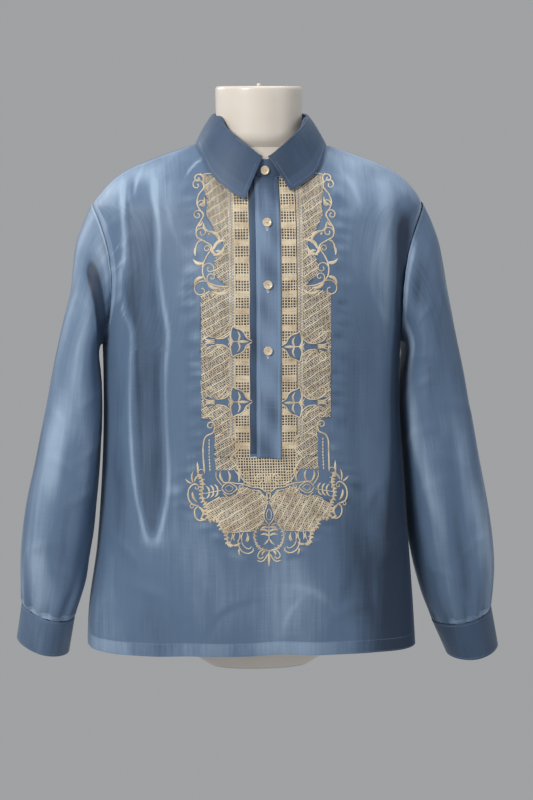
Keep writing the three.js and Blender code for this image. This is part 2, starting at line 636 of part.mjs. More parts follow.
// A barrel cuff: one band that closes on itself at the back, its free end lying over the other end.
function cuff(side, { top, bottom }) {
  const count = 26;
  const levels = 3;
  const girth = 4 * Math.hypot((top.outX - top.inX) / 2, top.depth);
  const lap = Math.ceil((CUFF_OVERLAP / girth) * count);
  const start = Math.round(count * 0.78);
  const grid = [];
  for (let i = 0; i <= levels; i += 1) {
    const share = i / levels;
    const row = Object.fromEntries(Object.keys(top).map((key) => [key, lerp(bottom[key], top[key], share)]));
    const middle = point((side * (row.inX + row.outX)) / 2, row.y, (row.inZ + row.outZ) / 2);
    const ring = section(row, side, count, CUFF_SQUARENESS);
    grid.push(Array.from({ length: count + lap + 1 }, (_, k) => {
      const raised = smooth(k, count - 4, count - 0.5) * (CUFF_CLOTH + SEAM_GAP);
      const p = ring[(start + k) % count].clone();
      const away = p.clone().sub(middle).normalize();
      return p.addScaledVector(away, raised);
    }));
  }
  const middleX = (side * (top.inX + top.outX + bottom.inX + bottom.outX)) / 4;
  const geometry = wall(grid, CUFF_CLOTH, { outside: (p) => point(p.x - middleX, p.y - top.y, 0) });
  const near = grid[0].length - 2;
  const end = grid[1][near].clone().lerp(grid[2][near], 0.5);
  const across = grid[1][near + 1].clone().sub(grid[1][near - 1]);
  const away = across.cross(grid[2][near].clone().sub(grid[1][near])).normalize();
  if (away.dot(point(end.x - middleX, end.y - top.y, 0)) < 0) away.negate();
  return { geometry, end, away };
}

function neckRing(turn, half, front, back) {
  const angle = radians(turn);
  const r = reach(Math.sin(angle), Math.cos(angle), half, Math.cos(angle) < 0 ? front : back, 2.1);
  return point(r * Math.sin(angle), r * Math.cos(angle), 0);
}

// A point of the stand's inner face: turn is the angle from the centre back, and share is how far up it lies.
function standPoint(turn, share) {
  const away = Math.abs(turn) > 180 ? 360 - Math.abs(turn) : Math.abs(turn);
  const inset = COLLAR_CLOTH + 2.1;
  const low = neckRing(turn, NECK_HALF - inset, NECK_FRONT - inset, NECK_BACK - inset);
  const rim = neckRing(turn, NECK_HALF, NECK_FRONT, NECK_BACK);
  low.z = heightAt(rim.x, rim.y) + 1.6;
  const tuck = 2.3 + 2.4 * smooth(away, 140, 168);
  const high = neckRing(turn, FOLD_LINE.half - tuck, FOLD_LINE.front - tuck, FOLD_LINE.back - tuck);
  high.x += FOLD_LINE.shift;
  high.z = read(FOLD_HEIGHT, 'turn', away, 'z') - 1.2;
  const raised = smooth(turn, 146, 170) * (COLLAR_CLOTH + SEAM_GAP);
  const out = point(high.x, high.y, 0).normalize();
  return low.lerp(high, share).addScaledVector(out, raised);
}

// The stand is the band that closes round the neck. Its wearer's left end laps over the other in front.
function collarStand() {
  const columns = 34;
  const levels = 3;
  const grid = Array.from({ length: levels + 1 }, (_, i) =>
    Array.from({ length: columns + 1 }, (__, j) =>
      standPoint(lerp(-180 - STAND_LAP, 180 + STAND_LAP, j / columns), i / levels)));
  return wall(grid, COLLAR_CLOTH);
}

// The leaf turns down from the stand and spreads over the shoulders to its two points.
function collarLeaf() {
  const grid = [];
  const columns = 36;
  const shares = [0, 0.1, 0.32, 0.66, 1];
  for (const share of shares) {
    const row = [];
    for (let j = 0; j <= columns; j += 1) {
      const turn = lerp(-LEAF_END, LEAF_END, j / columns);
      const side = Math.sign(turn) || 1;
      const away = Math.abs(turn);
      const fold = neckRing(turn, FOLD_LINE.half, FOLD_LINE.front, FOLD_LINE.back);
      fold.x += FOLD_LINE.shift;
      fold.z = read(FOLD_HEIGHT, 'turn', away, 'z');
      const which = side < 0 ? 'right' : 'left';
      const [edgeX, edgeY] = ['X', 'Y'].map((axis) => read(LEAF_EDGE, 'turn', away, which + axis));
      const edge = point(side * edgeX, edgeY, 0);
      edge.z = heightAt(edge.x, edge.y);
      const off = read(LEAF_EDGE, 'turn', away, 'off') + SHIRT_CLOTH;
      const out = point(edge.x, edge.y, 0).normalize().multiplyScalar(0.7);
      edge.addScaledVector(out.add(point(0, 0, 0.7)), off);
      const bulge = 1 * Math.sin(Math.PI * share ** 0.7);
      const away3 = point(edge.x, edge.y, 0).normalize().add(point(0, 0, 0.5)).normalize();
      row.push(fold.lerp(edge, share).addScaledVector(away3, bulge));
    }
    grid.push(row);
  }
  return wall(grid, COLLAR_CLOTH);
}

// The dress form: rings from its flat base to its flat neck top.
function dressForm() {
  const count = 32;
  const limit = (z, column, own) => {
    if (z > 752 || z < 560) return own;
    const sides = column === 'half'
      ? Math.min(bodySide(-1, z + FORM_GAP), bodySide(1, z + FORM_GAP))
      : bodyDepth(column === 'front', z + FORM_GAP) - FORM_GAP;
    return Math.min(own, sides);
  };
  const size = (z, column) => limit(z, column, read(FORM, 'z', z, column));
  const outline = (from, to, rings) => {
    const line = [];
    for (let z = from; z <= to; z += 0.5) line.push(point(size(z, 'half'), z, 0));
    return spread(line, rings).map((p) => p.y);
  };
  const rows = [...outline(FORM[0].z, 690, 18).slice(0, -1), ...outline(690, 780, 17).slice(0, -1), 780, 804, 829]
    .map((z) => ({
      z,
      half: size(z, 'half'),
      front: size(z, 'front'),
      back: size(z, 'back'),
      round: lerp(2.3, 2, smooth(z, 735, 765)),
    }));
  for (const angle of [30, 60, 90]) {
    const inset = NECK_EDGE * (1 - Math.cos(radians(angle)));
    rows.push({ z: NECK_TOP - NECK_EDGE + NECK_EDGE * Math.sin(radians(angle)), half: 62.5 - inset,
      front: 60 - inset, back: 60 - inset, round: 2 });
  }
  const positions = [];
  rows.forEach((row) => {
    for (let k = 0; k < count; k += 1) {
      const angle = (2 * Math.PI * k) / count;
      const depth = Math.sin(angle) < 0 ? row.front : row.back;
      const r = reach(Math.cos(angle), Math.sin(angle), row.half, depth, row.round);
      positions.push(r * Math.cos(angle), r * Math.sin(angle), row.z);
    }
  });
  const bottom = rows.length * count;
  positions.push(0, 0, rows[0].z, 0, 0, NECK_TOP);
  const faces = [];
  for (let k = 0; k < count; k += 1) {
    const next = (k + 1) % count;
    for (let i = 0; i < rows.length - 1; i += 1) {
      const [a, b] = [i * count + k, i * count + next];
      faces.push(a, b, b + count, a, b + count, a + count);
    }
    const last = (rows.length - 1) * count;
    faces.push(bottom, next, k, bottom + 1, last + k, last + next);
  }
  return solid(positions, faces);
}

// A round shell button with a raised rim, built about its own axis, its back at height 0.
function buttonGeometry() {
  const { radius, thickness, rim, dish } = BUTTON;
  const profile = [
    [0, 0], [radius - rim, 0], [radius, rim], [radius, thickness - rim], [radius - rim, thickness],
    [dish, thickness - rim], [0, thickness - rim],
  ].map(([r, height]) => new THREE.Vector2(Math.max(r, 0), height));
  return new THREE.LatheGeometry(profile, 14);
}

function placeButton(mesh, at, out) {
  mesh.quaternion.setFromUnitVectors(point(0, 1, 0), out);
  mesh.position.copy(at);
  return mesh;
}

function finish({ color, roughness, metalness }) {
  return new THREE.MeshStandardMaterial({ color, roughness, metalness });
}

const materials = Object.fromEntries(Object.entries(COLOURS).map(([name, look]) => [name, finish(look)]));

function piece(name, geometry, material) {
  const mesh = new THREE.Mesh(geometry, materials[material]);
  mesh.name = name;
  return mesh;
}

// The thread work of the front: a band down each side of the placket and a wider piece below it. Each row gives
// the band's outer edge at a height, as a distance from the centre line.
const BAND_EDGE = [
  { z: 316, x: 88 },
  { z: 352, x: 84 },
  { z: 372, x: 78 },
  { z: 384, x: 87 },
  { z: 480, x: 88 },
  { z: 524, x: 90 },
  { z: 545, x: 99 },
  { z: 562, x: 90 },
  { z: 582, x: 100 },
  { z: 600, x: 84 },
  { z: 622, x: 92 },
  { z: 640, x: 98 },
  { z: 655, x: 86 },
  { z: 672, x: 94 },
  { z: 690, x: 86 },
  { z: 704, x: 91 },
];
const LOWER_EDGE = [
  { z: 166, x: 4 },
  { z: 176, x: 22 },
  { z: 190, x: 50 },
  { z: 206, x: 60 },
  { z: 226, x: 72 },
  { z: 238, x: 96 },
  { z: 250, x: 104 },
  { z: 268, x: 115 },
  { z: 284, x: 113 },
  { z: 298, x: 106 },
  { z: 308, x: 97 },
  { z: 313, x: 90 },
];
const THREAD_OUT = SHIRT_CLOTH + 0.7;
const THREAD_HEIGHT = 0.8;
const BAND_ROWS = 28;

// The front panel's own surface at a place seen from the front, moved out from its inner face.
function overPanel(grid, x, z, out) {
  for (let i = 0; i < grid.length - 1; i += 1) {
    for (let j = 0; j < grid[0].length - 1; j += 1) {
      const [a, b, c, d] = [grid[i][j], grid[i][j + 1], grid[i + 1][j + 1], grid[i + 1][j]];
      for (const corners of [[a, b, c], [a, c, d]]) {
        const [p, q, r] = corners;
        const whole = (q.x - p.x) * (r.z - p.z) - (r.x - p.x) * (q.z - p.z);
        const v = ((x - p.x) * (r.z - p.z) - (r.x - p.x) * (z - p.z)) / whole;
        const w = ((q.x - p.x) * (z - p.z) - (x - p.x) * (q.z - p.z)) / whole;
        if (v >= -1e-6 && w >= -1e-6 && v + w <= 1 + 1e-6) {
          const at = p.clone().addScaledVector(q.clone().sub(p), v).addScaledVector(r.clone().sub(p), w);
          return at.addScaledVector(frontNormal(x, z), out);
        }
      }
    }
  }
  throw new Error(`no cloth at ${x}, ${z}`);
}

// A band's upright lines are the front panel's own, so that it follows the cloth below it. It stands off a little
// more towards the collar, where the cloth bends most.
function threadBand(panel, side) {
  const lines = FRONT_LINES.filter((x) => x * side > 0 && Math.abs(x) <= NECK_HALF).map(Math.abs).sort((a, b) => a - b);
  lines[0] = side < 0 ? -SLOT_LEFT + 1 : 20.3;
  const grid = [];
  for (let i = 0; i <= BAND_ROWS; i += 1) {
    const z = lerp(316, 701, i / BAND_ROWS);
    const out = THREAD_OUT + 0.7 * smooth(z, 560, 680);
    grid.push([...lines, read(BAND_EDGE, 'z', z, 'x')].map((x) => overPanel(panel, side * x, z, out)));
  }
  return wall(grid, THREAD_HEIGHT);
}

function threadPiece(panel) {
  const grid = [];
  const rows = 19;
  for (let i = 0; i <= rows; i += 1) {
    const z = lerp(167, 312.8, i / rows);
    const edge = read(LOWER_EDGE, 'z', z, 'x');
    grid.push(Array.from({ length: 11 }, (_, j) => overPanel(panel, lerp(-edge, edge, j / 10), z, THREAD_OUT)));
  }
  return wall(grid, THREAD_HEIGHT);
}

const frontGrid = panelGrid(true, FRONT_LINES, 14);
const shirt = new THREE.Group();
shirt.add(
  piece('dress_form', dressForm(), 'form'),
  piece('front_panel', frontPanel(frontGrid), 'cloth'),
  piece('back_panel', backPanel(), 'cloth'),
  piece('sleeve_right', sleeve(-1, RIGHT_SLEEVE), 'cloth'),
  piece('sleeve_left', sleeve(1, LEFT_SLEEVE), 'cloth'),
  piece('collar_stand', collarStand(), 'cloth'),
  piece('collar_leaf', collarLeaf(), 'cloth'),
  piece('placket_under', placketUnder(), 'cloth'),
  piece('placket_over', placketOver(), 'cloth'),
  piece('embroidery_right_band', threadBand(frontGrid, -1), 'thread'),
  piece('embroidery_left_band', threadBand(frontGrid, 1), 'thread'),
  piece('embroidery_lower_piece', threadPiece(frontGrid), 'thread'),
);

const pin = piece('form_neck_pin', new THREE.CylinderGeometry(
  NECK_PIN.radius, NECK_PIN.radius, NECK_PIN.height, 14), 'form');
pin.rotation.x = Math.PI / 2;
pin.position.set(0, 0, NECK_TOP + 0.3 + NECK_PIN.height / 2);
shirt.add(pin);

for (const [name, side, sizes] of [['right', -1, RIGHT_CUFF], ['left', 1, LEFT_CUFF]]) {
  const { geometry, end, away } = cuff(side, sizes);
  shirt.add(piece(`cuff_${name}`, geometry, 'cloth'));
  const seat = end.addScaledVector(away, CUFF_CLOTH + BUTTON_GAP);
  shirt.add(placeButton(piece(`cuff_button_${name}`, buttonGeometry(), 'shell'), seat, away));
}

for (const { name, z } of PLACKET_BUTTONS) {
  const seat = overFront(BUTTON_SIDE, z, PLACKET_OUT + PLACKET_CLOTH + BUTTON_GAP);
  shirt.add(placeButton(piece(name, buttonGeometry(), 'shell'), seat, frontNormal(BUTTON_SIDE, z)));
}
const standSlope = standPoint(180, 1).sub(standPoint(180, 0));
const standOut = point(0, -standSlope.z, standSlope.y).normalize();
shirt.add(placeButton(piece('button_collar', buttonGeometry(), 'shell'),
  standPoint(180, 0.42).addScaledVector(standOut, COLLAR_CLOTH + BUTTON_GAP).setX(BUTTON_SIDE), standOut));

shirt.position.z = HEM_LIFT;

const part = new THREE.Group();
part.add(shirt);
export default part;
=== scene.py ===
# %% [markdown]
# # A barong tagalog on a dress form
# This shirt is sewn from a few flat pieces of stiff, sheer cloth: a front and a back, two sleeves with
# cuffs, and a collar made of a stand and a leaf. Thread work covers the middle of its front. The packed
# solids give the place and size of every piece, and this lesson dresses each one with finer cloth, seams
# and threads.

import math

import bpy
import numpy as np
from mathutils import Matrix, Vector


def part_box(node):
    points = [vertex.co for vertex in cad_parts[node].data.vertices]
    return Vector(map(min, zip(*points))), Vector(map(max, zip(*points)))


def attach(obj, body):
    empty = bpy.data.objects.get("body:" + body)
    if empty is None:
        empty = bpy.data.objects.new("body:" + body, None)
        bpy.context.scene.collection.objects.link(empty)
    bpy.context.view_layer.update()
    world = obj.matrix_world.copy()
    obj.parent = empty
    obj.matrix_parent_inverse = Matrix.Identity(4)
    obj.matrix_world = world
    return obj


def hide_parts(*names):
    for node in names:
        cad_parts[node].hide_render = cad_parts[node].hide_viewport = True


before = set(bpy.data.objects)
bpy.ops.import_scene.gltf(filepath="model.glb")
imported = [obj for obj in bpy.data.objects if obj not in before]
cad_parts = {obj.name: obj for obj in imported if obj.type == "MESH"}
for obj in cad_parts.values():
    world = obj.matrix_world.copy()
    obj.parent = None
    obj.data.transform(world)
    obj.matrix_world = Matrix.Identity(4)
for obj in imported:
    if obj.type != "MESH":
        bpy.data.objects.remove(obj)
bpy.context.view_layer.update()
MM = 0.001
SIDES = ((-1, "right"), (1, "left"))
HEM_LIFT = 12

# %% [markdown]
# ## Sizes
# Every size is in millimetres. The tables are the pattern of the garment: each row is one level of the body,
# one section of a sleeve or one soft fold, and a smooth curve runs through each column. They are the sizes
# that the solids were built from, apart from two folds of the front that lie a little to the side of theirs.

# %% Tables of the shirt
SHIRT_CLOTH, COLLAR_CLOTH, CUFF_CLOTH, PLACKET_CLOTH = 1.2, 1.6, 1.8, 1.4
SEAM_GAP, FORM_GAP = 0.5, 1.2
SHEER_WALL = 0.7
PLACKET_OUT = SHIRT_CLOTH + SEAM_GAP + 0.3
SQUARENESS = 2.5
NECK_HALF, NECK_FRONT, NECK_BACK = 77, 84, 70
SHOULDER_TIP, ARMPIT, ARMHOLE_DEPTH, SHIRT_TOP = 666, 466, 66, 775
VENT_TOP, VENT_GAPE = 165, 13
FRONT_HEM, BACK_HEM, SIDE_HEM = 31, 17, {-1: 25, 1: 20}
SEAM_FORWARD = 11
SLOT_LEFT, SLOT_RIGHT, SLOT_BOTTOM = -24, 18, 322
BAND_SPLIT = 435


def table(names, rows):
    """A table as a dictionary that holds one array for each named column."""
    return dict(zip(names.split(), np.array(rows, float).T))


def rows_of(columns):
    """The same table row by row, each row as a dictionary."""
    return [dict(zip(columns, row)) for row in zip(*columns.values())]


BODY = table("z right left front back", [
    (0, 253, 232, 133, 122), (80, 249, 226, 134, 124), (165, 237, 219, 134, 126),
    (250, 230, 212, 133, 126), (330, 226, 206, 132, 125), (400, 225, 203, 131, 124),
    (466, 226, 205, 131, 124), (520, 230, 213, 131, 124), (566, 233, 220, 129, 125),
    (620, 236, 228, 121, 122), (650, 237, 233, 113, 118), (666, 237, 234, 107, 115),
    (680, 227, 227, 100, 111), (692, 217, 217, 93, 107), (704, 204, 204, 84, 103),
    (715, 186, 187, 76, 98), (727, 158, 159, 69, 92), (739, 125, 126, 61, 86),
    (750, 92, 92, 53, 80), (758, 70, 70, 44, 75), (768, 50, 50, 32, 70), (775, 36, 36, 24, 66),
])
SLEEVE_NAMES = "inX inZ outX outZ depth y dip"
SLEEVES = {
    -1: table(SLEEVE_NAMES, [
        (231, 465.5, 250, 642, 68, 0, 0), (232.8, 463.5, 262, 610, 70, 0, 0),
        (234, 459.5, 267, 575, 73, 0, 0), (234, 452, 271, 540, 75, 0, 0),
        (233.2, 442, 280, 505, 77, 0, 0), (231.6, 428, 289, 465, 78, 0, 0),
        (229.8, 406, 298, 422, 78, 0, 0), (229.4, 368, 307, 377, 77, -2, 0),
        (231.5, 325, 317, 333, 75, -4, 0), (234.5, 280, 326, 290, 72, -5, 0),
        (239, 235, 336, 247, 69, -5, 0), (243.5, 193, 343, 207, 66, -4, 0.02),
        (250, 155, 347, 171, 63, -2, 0.04), (255, 122, 348.5, 139, 60, 0, 0.06),
        (262.5, 95, 348.5, 112, 57, 2, 0.08), (269.5, 75.5, 348, 95, 53, 3, 0.1),
        (273, 63.5, 347, 85.5, 50, 4, 0.1),
    ]),
    1: table(SLEEVE_NAMES, [
        (210.5, 465.5, 248, 642, 68, 0, 0), (212.2, 463.5, 259, 612, 70, 0, 0),
        (213.2, 459.5, 266, 578, 73, 0, 0), (213.2, 452, 271, 545, 76, 0, 0),
        (212.4, 442, 278, 508, 78, 0, 0), (210.6, 428, 286, 466, 79, 0, 0),
        (208, 406, 296, 421, 79, 0, 0), (207.6, 368, 305, 377, 78, 0, 0),
        (210.5, 325, 314.5, 335, 76, 0, 0), (214.5, 280, 323.5, 290, 74, 0, 0),
        (218, 232, 333, 245, 71, 0, 0), (221.5, 188, 341, 203, 68, 1, 0.02),
        (228, 149, 346.5, 164, 65, 2, 0.04), (236.5, 114, 349, 130, 61, 3, 0.06),
        (246, 83, 348.5, 100, 57, 4, 0.08), (255.5, 61, 347, 80, 53, 5, 0.1),
        (260.5, 48, 346.5, 66.5, 50, 6, 0.1),
    ]),
}
ARMHOLE_FADE = [1, 0.72, 0.45, 0.22, 0.08]
CUFFS = {
    -1: table(SLEEVE_NAMES, [(282, 10.5, 355, 31.5, 49, 7, 0.1), (273, 62.4, 347, 84.4, 50, 4, 0.1)]),
    1: table(SLEEVE_NAMES, [(284, -5, 358, 7, 48, 9, 0.13), (260.5, 46.9, 346.5, 65.4, 50, 6, 0.1)]),
}
CUFF_SQUARENESS = 1.75
FOLD_LINE = {"half": 69, "front": 84, "back": 66, "shift": 2}
FOLD_HEIGHT = table("turn z", [(0, 794), (60, 793), (90, 790), (110, 786), (130, 777), (150, 761.5),
                               (165, 746), (177, 734), (190, 732)])
LEAF_EDGE = table("turn rightX rightY leftX leftY off", [
    (0, 0, 87, 0, 87, 2), (40, 63, 66, 63, 66, 2), (70, 82.5, 31, 85.5, 31, 2), (90, 87, -2, 90, -2, 2.2),
    (110, 87, -36, 89, -34, 3), (130, 79, -66, 82, -61, 3.6), (150, 63, -87, 68, -80, 4.2),
    (165, 45, -98, 51, -91, 4.6), (177, 28, -104, 34, -97.5, 5),
])
LEAF_END, STAND_LAP = 177, 8
FORM = table("z half front back", [
    (-12, 72, 40, 48), (-2, 88, 52, 58), (22, 120, 75, 79), (60, 146, 94, 95), (120, 161, 103, 106),
    (200, 160, 101, 104), (300, 151, 97, 98), (380, 152, 99, 99), (460, 165, 106, 106), (540, 181, 112, 112),
    (600, 191, 111, 115), (650, 197, 104, 112), (680, 198, 93, 107), (700, 196, 82, 104), (715, 189, 73, 98),
    (730, 149, 62.5, 86), (742, 103, 53, 77), (750, 76, 54.5, 69), (755, 68, 57, 65.5), (760, 66, 60, 63.5),
    (772, 62.5, 60, 61), (829, 62.5, 60, 60),
])
NECK_TOP, NECK_EDGE = 834, 5
BUTTON_RADIUS, BUTTON_THICKNESS = 6.2, 2.6
print(len(BODY["z"]), "levels of the body and", len(SLEEVES[1]["inX"]), "sections of a sleeve")

# %% [markdown]
# ## Reading a table, and the shape of the body
# A cutter draws a smooth curve through a few measured points. The same is done here with a Hermite curve.
# The shirt's body is a stack of ovals with squared corners, so its depth at any place follows from its
# width there.

# %% Curves and the body's depth


def curve(keys, values, at):
    """A smooth curve through a table's values, read at any place along its keys."""
    keys, values = np.asarray(keys, float), np.asarray(values, float)
    last = len(keys) - 1
    x = np.clip(np.asarray(at, float), keys[0], keys[-1])
    i = np.searchsorted(keys[1:-1], x, side="left")
    below, above = np.maximum(np.arange(last + 1) - 1, 0), np.minimum(np.arange(last + 1) + 1, last)
    slope = (values[above] - values[below]) / (keys[above] - keys[below])
    step = keys[i + 1] - keys[i]
    t = (x - keys[i]) / step
    return (values[i] * (2 * t**3 - 3 * t**2 + 1) + values[i + 1] * (3 * t**2 - 2 * t**3)
            + step * slope[i] * (t**3 - 2 * t**2 + t) + step * slope[i + 1] * (t**3 - t**2))


def smooth(x, low, high):
    """Rises smoothly from 0 at low to 1 at high."""
    t = np.clip((np.asarray(x, float) - low) / (high - low), 0, 1)
    return t * t * (3 - 2 * t)


def lerp(a, b, share):
    return a + (b - a) * share


def bump(x, centre, width):
    """A soft hill of height 1."""
    return np.exp(-((x - centre) / width) ** 2)


def unit(v):
    return v / np.linalg.norm(v, axis=-1, keepdims=True)


def gone_along(path):
    """How far each point of a path lies from its start, along it."""
    return np.concatenate([[0], np.linalg.norm(np.diff(path, axis=0), axis=-1).cumsum()])


def body_side(side, z):
    """How far the body reaches out to the wearer's right (side below 0) or left."""
    right, left = curve(BODY["z"], BODY["right"], z), curve(BODY["z"], BODY["left"], z)
    return np.where(np.asarray(side) < 0, right, left)


def body_depth(is_front, z):
    return curve(BODY["z"], BODY["front" if is_front else "back"], z)


def depth_towards(y, z):
    return np.where(np.asarray(y) < 0, body_depth(True, z), body_depth(False, z))


def plain_depth(is_front, x, z):
    """How far the shirt stands out from the axis plane, without its folds."""
    across = np.clip(np.abs(x) / body_side(x, z), 0, 1)
    return body_depth(is_front, z) * (1 - across**SQUARENESS) ** (1 / SQUARENESS)


def height_at(x, y):
    """The height of the shoulders and neckline at a place seen from above."""
    low, high = np.full(np.shape(x), 600.0), np.full(np.shape(x), float(SHIRT_TOP))
    for _ in range(36):
        middle = (low + high) / 2
        across, deep = np.abs(x) / body_side(x, middle), np.abs(y) / depth_towards(y, middle)
        past = across**SQUARENESS + deep**SQUARENESS > 1
        low, high = np.where(past, low, middle), np.where(past, middle, high)
    return (low + high) / 2


def armhole_depth(z):
    middle = (SHOULDER_TIP + ARMPIT) / 2
    across = (np.asarray(z, float) - middle) / (SHOULDER_TIP - middle)
    return ARMHOLE_DEPTH * np.sqrt(np.clip(1 - across**2, 0, 1))


def edge_depth(z):
    """How far a panel's side edge lies from the side seam's plane: more at the armhole and down the vent."""
    vent = VENT_GAPE * (np.clip(VENT_TOP - np.asarray(z, float), 0, None) / VENT_TOP) ** 1.3
    return np.maximum(np.maximum(SEAM_GAP / 2, armhole_depth(z)), vent + SEAM_GAP / 2)


chest = float(body_side(-1, ARMPIT) + body_side(1, ARMPIT))
print("at the armpits the shirt is", chest, "mm wide")

# %% [markdown]
# ## The folds of stiff sheer cloth
# Stiff cloth doesn't drape in many small folds. It breaks into a few long upright ridges with flat or
# hollow cloth between them, and it puckers where dense thread work pulls it. Each row below is one ridge
# (or one hollow, where its depth is negative) with its place across the front at the top and at the bottom.
# The places drift, because a fold follows the pull from the shoulder and not the weave. A cloth simulation
# could make folds too, but they would fall at random, while the folds of this shirt are known.

# %% Folds, ridges and puckers
FOLD_NAMES = "x_top x_bottom width depth top bottom"
FRONT_FOLDS = table(FOLD_NAMES, [
    (-199, -173, 5, 4, 725, 190), (-177, -160, 17, -5, 706, 200), (-155, -144, 5, 3.4, 700, 195),
    (-134, -122, 12, -2, 640, 90), (-228, -222, 9, -3, 560, 120), (-120, -112, 10, 1.6, 620, 60),
    (168, 172, 14, 4, 712, 330), (194, 194, 11, -7, 700, 120), (208, 206, 7, 3, 640, 100),
    (126, 134, 16, -1.6, 560, 40), (112, 150, 9, 1.8, 300, 20), (178, 168, 12, 3, 330, 60),
])
BACK_FOLDS = table(FOLD_NAMES, [
    (-184, -170, 14, 4, 680, 60), (-140, -122, 16, -4, 650, 40), (-50, -62, 17, -3.5, 560, 30),
    (56, 50, 17, -3.5, 580, 30), (140, 122, 16, -4, 650, 40), (184, 170, 14, 4, 680, 60),
    (0, 4, 20, 2.2, 600, 60),
])
CREASE_NAMES = "x z run angle width value"
DRAG_LINES = table(CREASE_NAMES, [
    (-196, 668, 60, 62, 5, 2), (-214, 640, 46, 40, 4.5, 2.2), (-208, 612, 44, 34, 4, 1.8),
    (-212, 585, 38, 42, 4, 1.8), (-203, 556, 34, 48, 4, 1.4), (-112, 690, 40, 64, 5, 1.2),
    (205, 632, 50, -52, 5, 2), (200, 590, 46, -44, 5, 1.6), (196, 548, 40, -40, 5, 1.4),
    (128, 704, 46, -30, 6, 1), (150, 250, 60, 58, 8, 1.8), (186, 180, 60, 44, 8, 2.4),
    (-196, 178, 52, -46, 7, 2.2), (-160, 120, 60, -25, 9, 1.4), (120, 96, 70, 20, 9, 1.5),
    (-30, 120, 60, 70, 8, 1.2), (40, 108, 50, -66, 8, 1.2),
])
HEM_BAND, FACING = 19, 17
EDGE_OF_THREADS = table("z s", [
    (160, 4), (176, 30), (200, 60), (226, 80), (245, 106), (268, 115), (290, 108), (312, 90), (372, 88),
    (480, 92), (545, 99), (600, 92), (640, 97), (672, 95), (713, 91),
])


def long_folds(folds, x, z):
    """The depth of the long folds at a place, in millimetres outwards."""
    total = np.zeros(np.broadcast(x, z).shape)
    for fold in rows_of(folds):
        down = np.clip((fold["top"] - z) / (fold["top"] - fold["bottom"]), 0, 1)
        middle = lerp(fold["x_top"], fold["x_bottom"], down)
        total = total + fold["depth"] * np.sin(np.pi * down) ** 0.6 * bump(x, middle, fold["width"])
    return total


def creases(rows, x, z, bow):
    """Short slanting lines, slightly bowed, such as those where a seam or the thread work pulls."""
    total = np.zeros(np.broadcast(x, z).shape)
    for row in rows_of(rows):
        angle = math.radians(row["angle"])
        dx, dz = x - row["x"], z - row["z"]
        along = dx * math.cos(angle) + dz * math.sin(angle)
        off = dz * math.cos(angle) - dx * math.sin(angle) + bow * along**2
        total = total + row["value"] * bump(along, 0, row["run"] / 2) * bump(off, 0, row["width"])
    return total


def puckers(x, z):
    """Small ripples beside the dense thread work."""
    side = np.where(x < 0, -1, 1)
    off = np.abs(x) - curve(EDGE_OF_THREADS["z"], EDGE_OF_THREADS["s"], z)
    near = smooth(off, -3, 5) * (1 - smooth(off, 6, 34)) * smooth(z, 150, 175) * (1 - smooth(z, 690, 720))
    wave = np.sin(z / 3.1 + 2.1 * np.sin(z / 17 + side) + off / 14)
    return 0.42 * near * (wave + 0.6 * np.sin(z / 7.3 + side * 1.7 - off / 9))


def hem_flutes(is_front, x, z):
    """The hem's slight waves, which fade upwards."""
    phase = 0.6 if is_front else 2
    wave = np.sin(x / 21 + phase) + 0.7 * np.sin(x / 11.3 + 1.7 + phase)
    return 1.3 * wave * (1 - smooth(z, 20, 190)) * (1 - smooth(np.abs(x), 200, 226))


def drape(is_front, x, z):
    """All that the cloth's surface adds to the plain body."""
    side_fade = 1 - smooth(np.abs(x) / body_side(x, z), 0.93, 0.995)
    top_fade = 1 - smooth(z, 700, 745)
    if not is_front:
        return side_fade * top_fade * (long_folds(BACK_FOLDS, x, z) + hem_flutes(False, x, z))
    bare = smooth(np.abs(x) - curve(EDGE_OF_THREADS["z"], EDGE_OF_THREADS["s"], z), 0, 26)
    under = np.where((z > 150) & (z < 725), bare, 1)
    flat = 1 - smooth(z, 120, 150) * (1 - under)
    folds = long_folds(FRONT_FOLDS, x, z) + creases(DRAG_LINES, x, z, 0.004)
    return side_fade * top_fade * (flat * folds + hem_flutes(True, x, z)) + puckers(x, z) * side_fade


def body_point(is_front, x, z):
    """A point of the shirt's inner face."""
    depth = plain_depth(is_front, x, z) + drape(is_front, x, z)
    return np.stack(np.broadcast_arrays(x, -depth if is_front else depth, z), -1).astype(float)


def on_front(x, z, out):
    """Points at a height above the front's inner face, and the way the cloth faces there."""
    step = 1.5
    across = body_point(True, x + step, z) - body_point(True, x - step, z)
    up = body_point(True, x, z + step) - body_point(True, x, z - step)
    normal = unit(np.cross(across, up))
    return body_point(True, x, z) + normal * np.asarray(out)[..., None], normal


print("the front's folds stand out up to", FRONT_FOLDS["depth"].max(), "mm")

# %% [markdown]
# ## From the pattern to a panel
# Each upright line of a panel is named by its place at the shoulder tip, and keeps its share of the way to
# the panel's edge. So the armhole, the side vent and the neckline are cut by the lines themselves, and the
# grid has no ragged edge. The shoulder seam lies a little in front of the shoulder's ridge, as the tailor
# puts it.

# %% The panels' lines


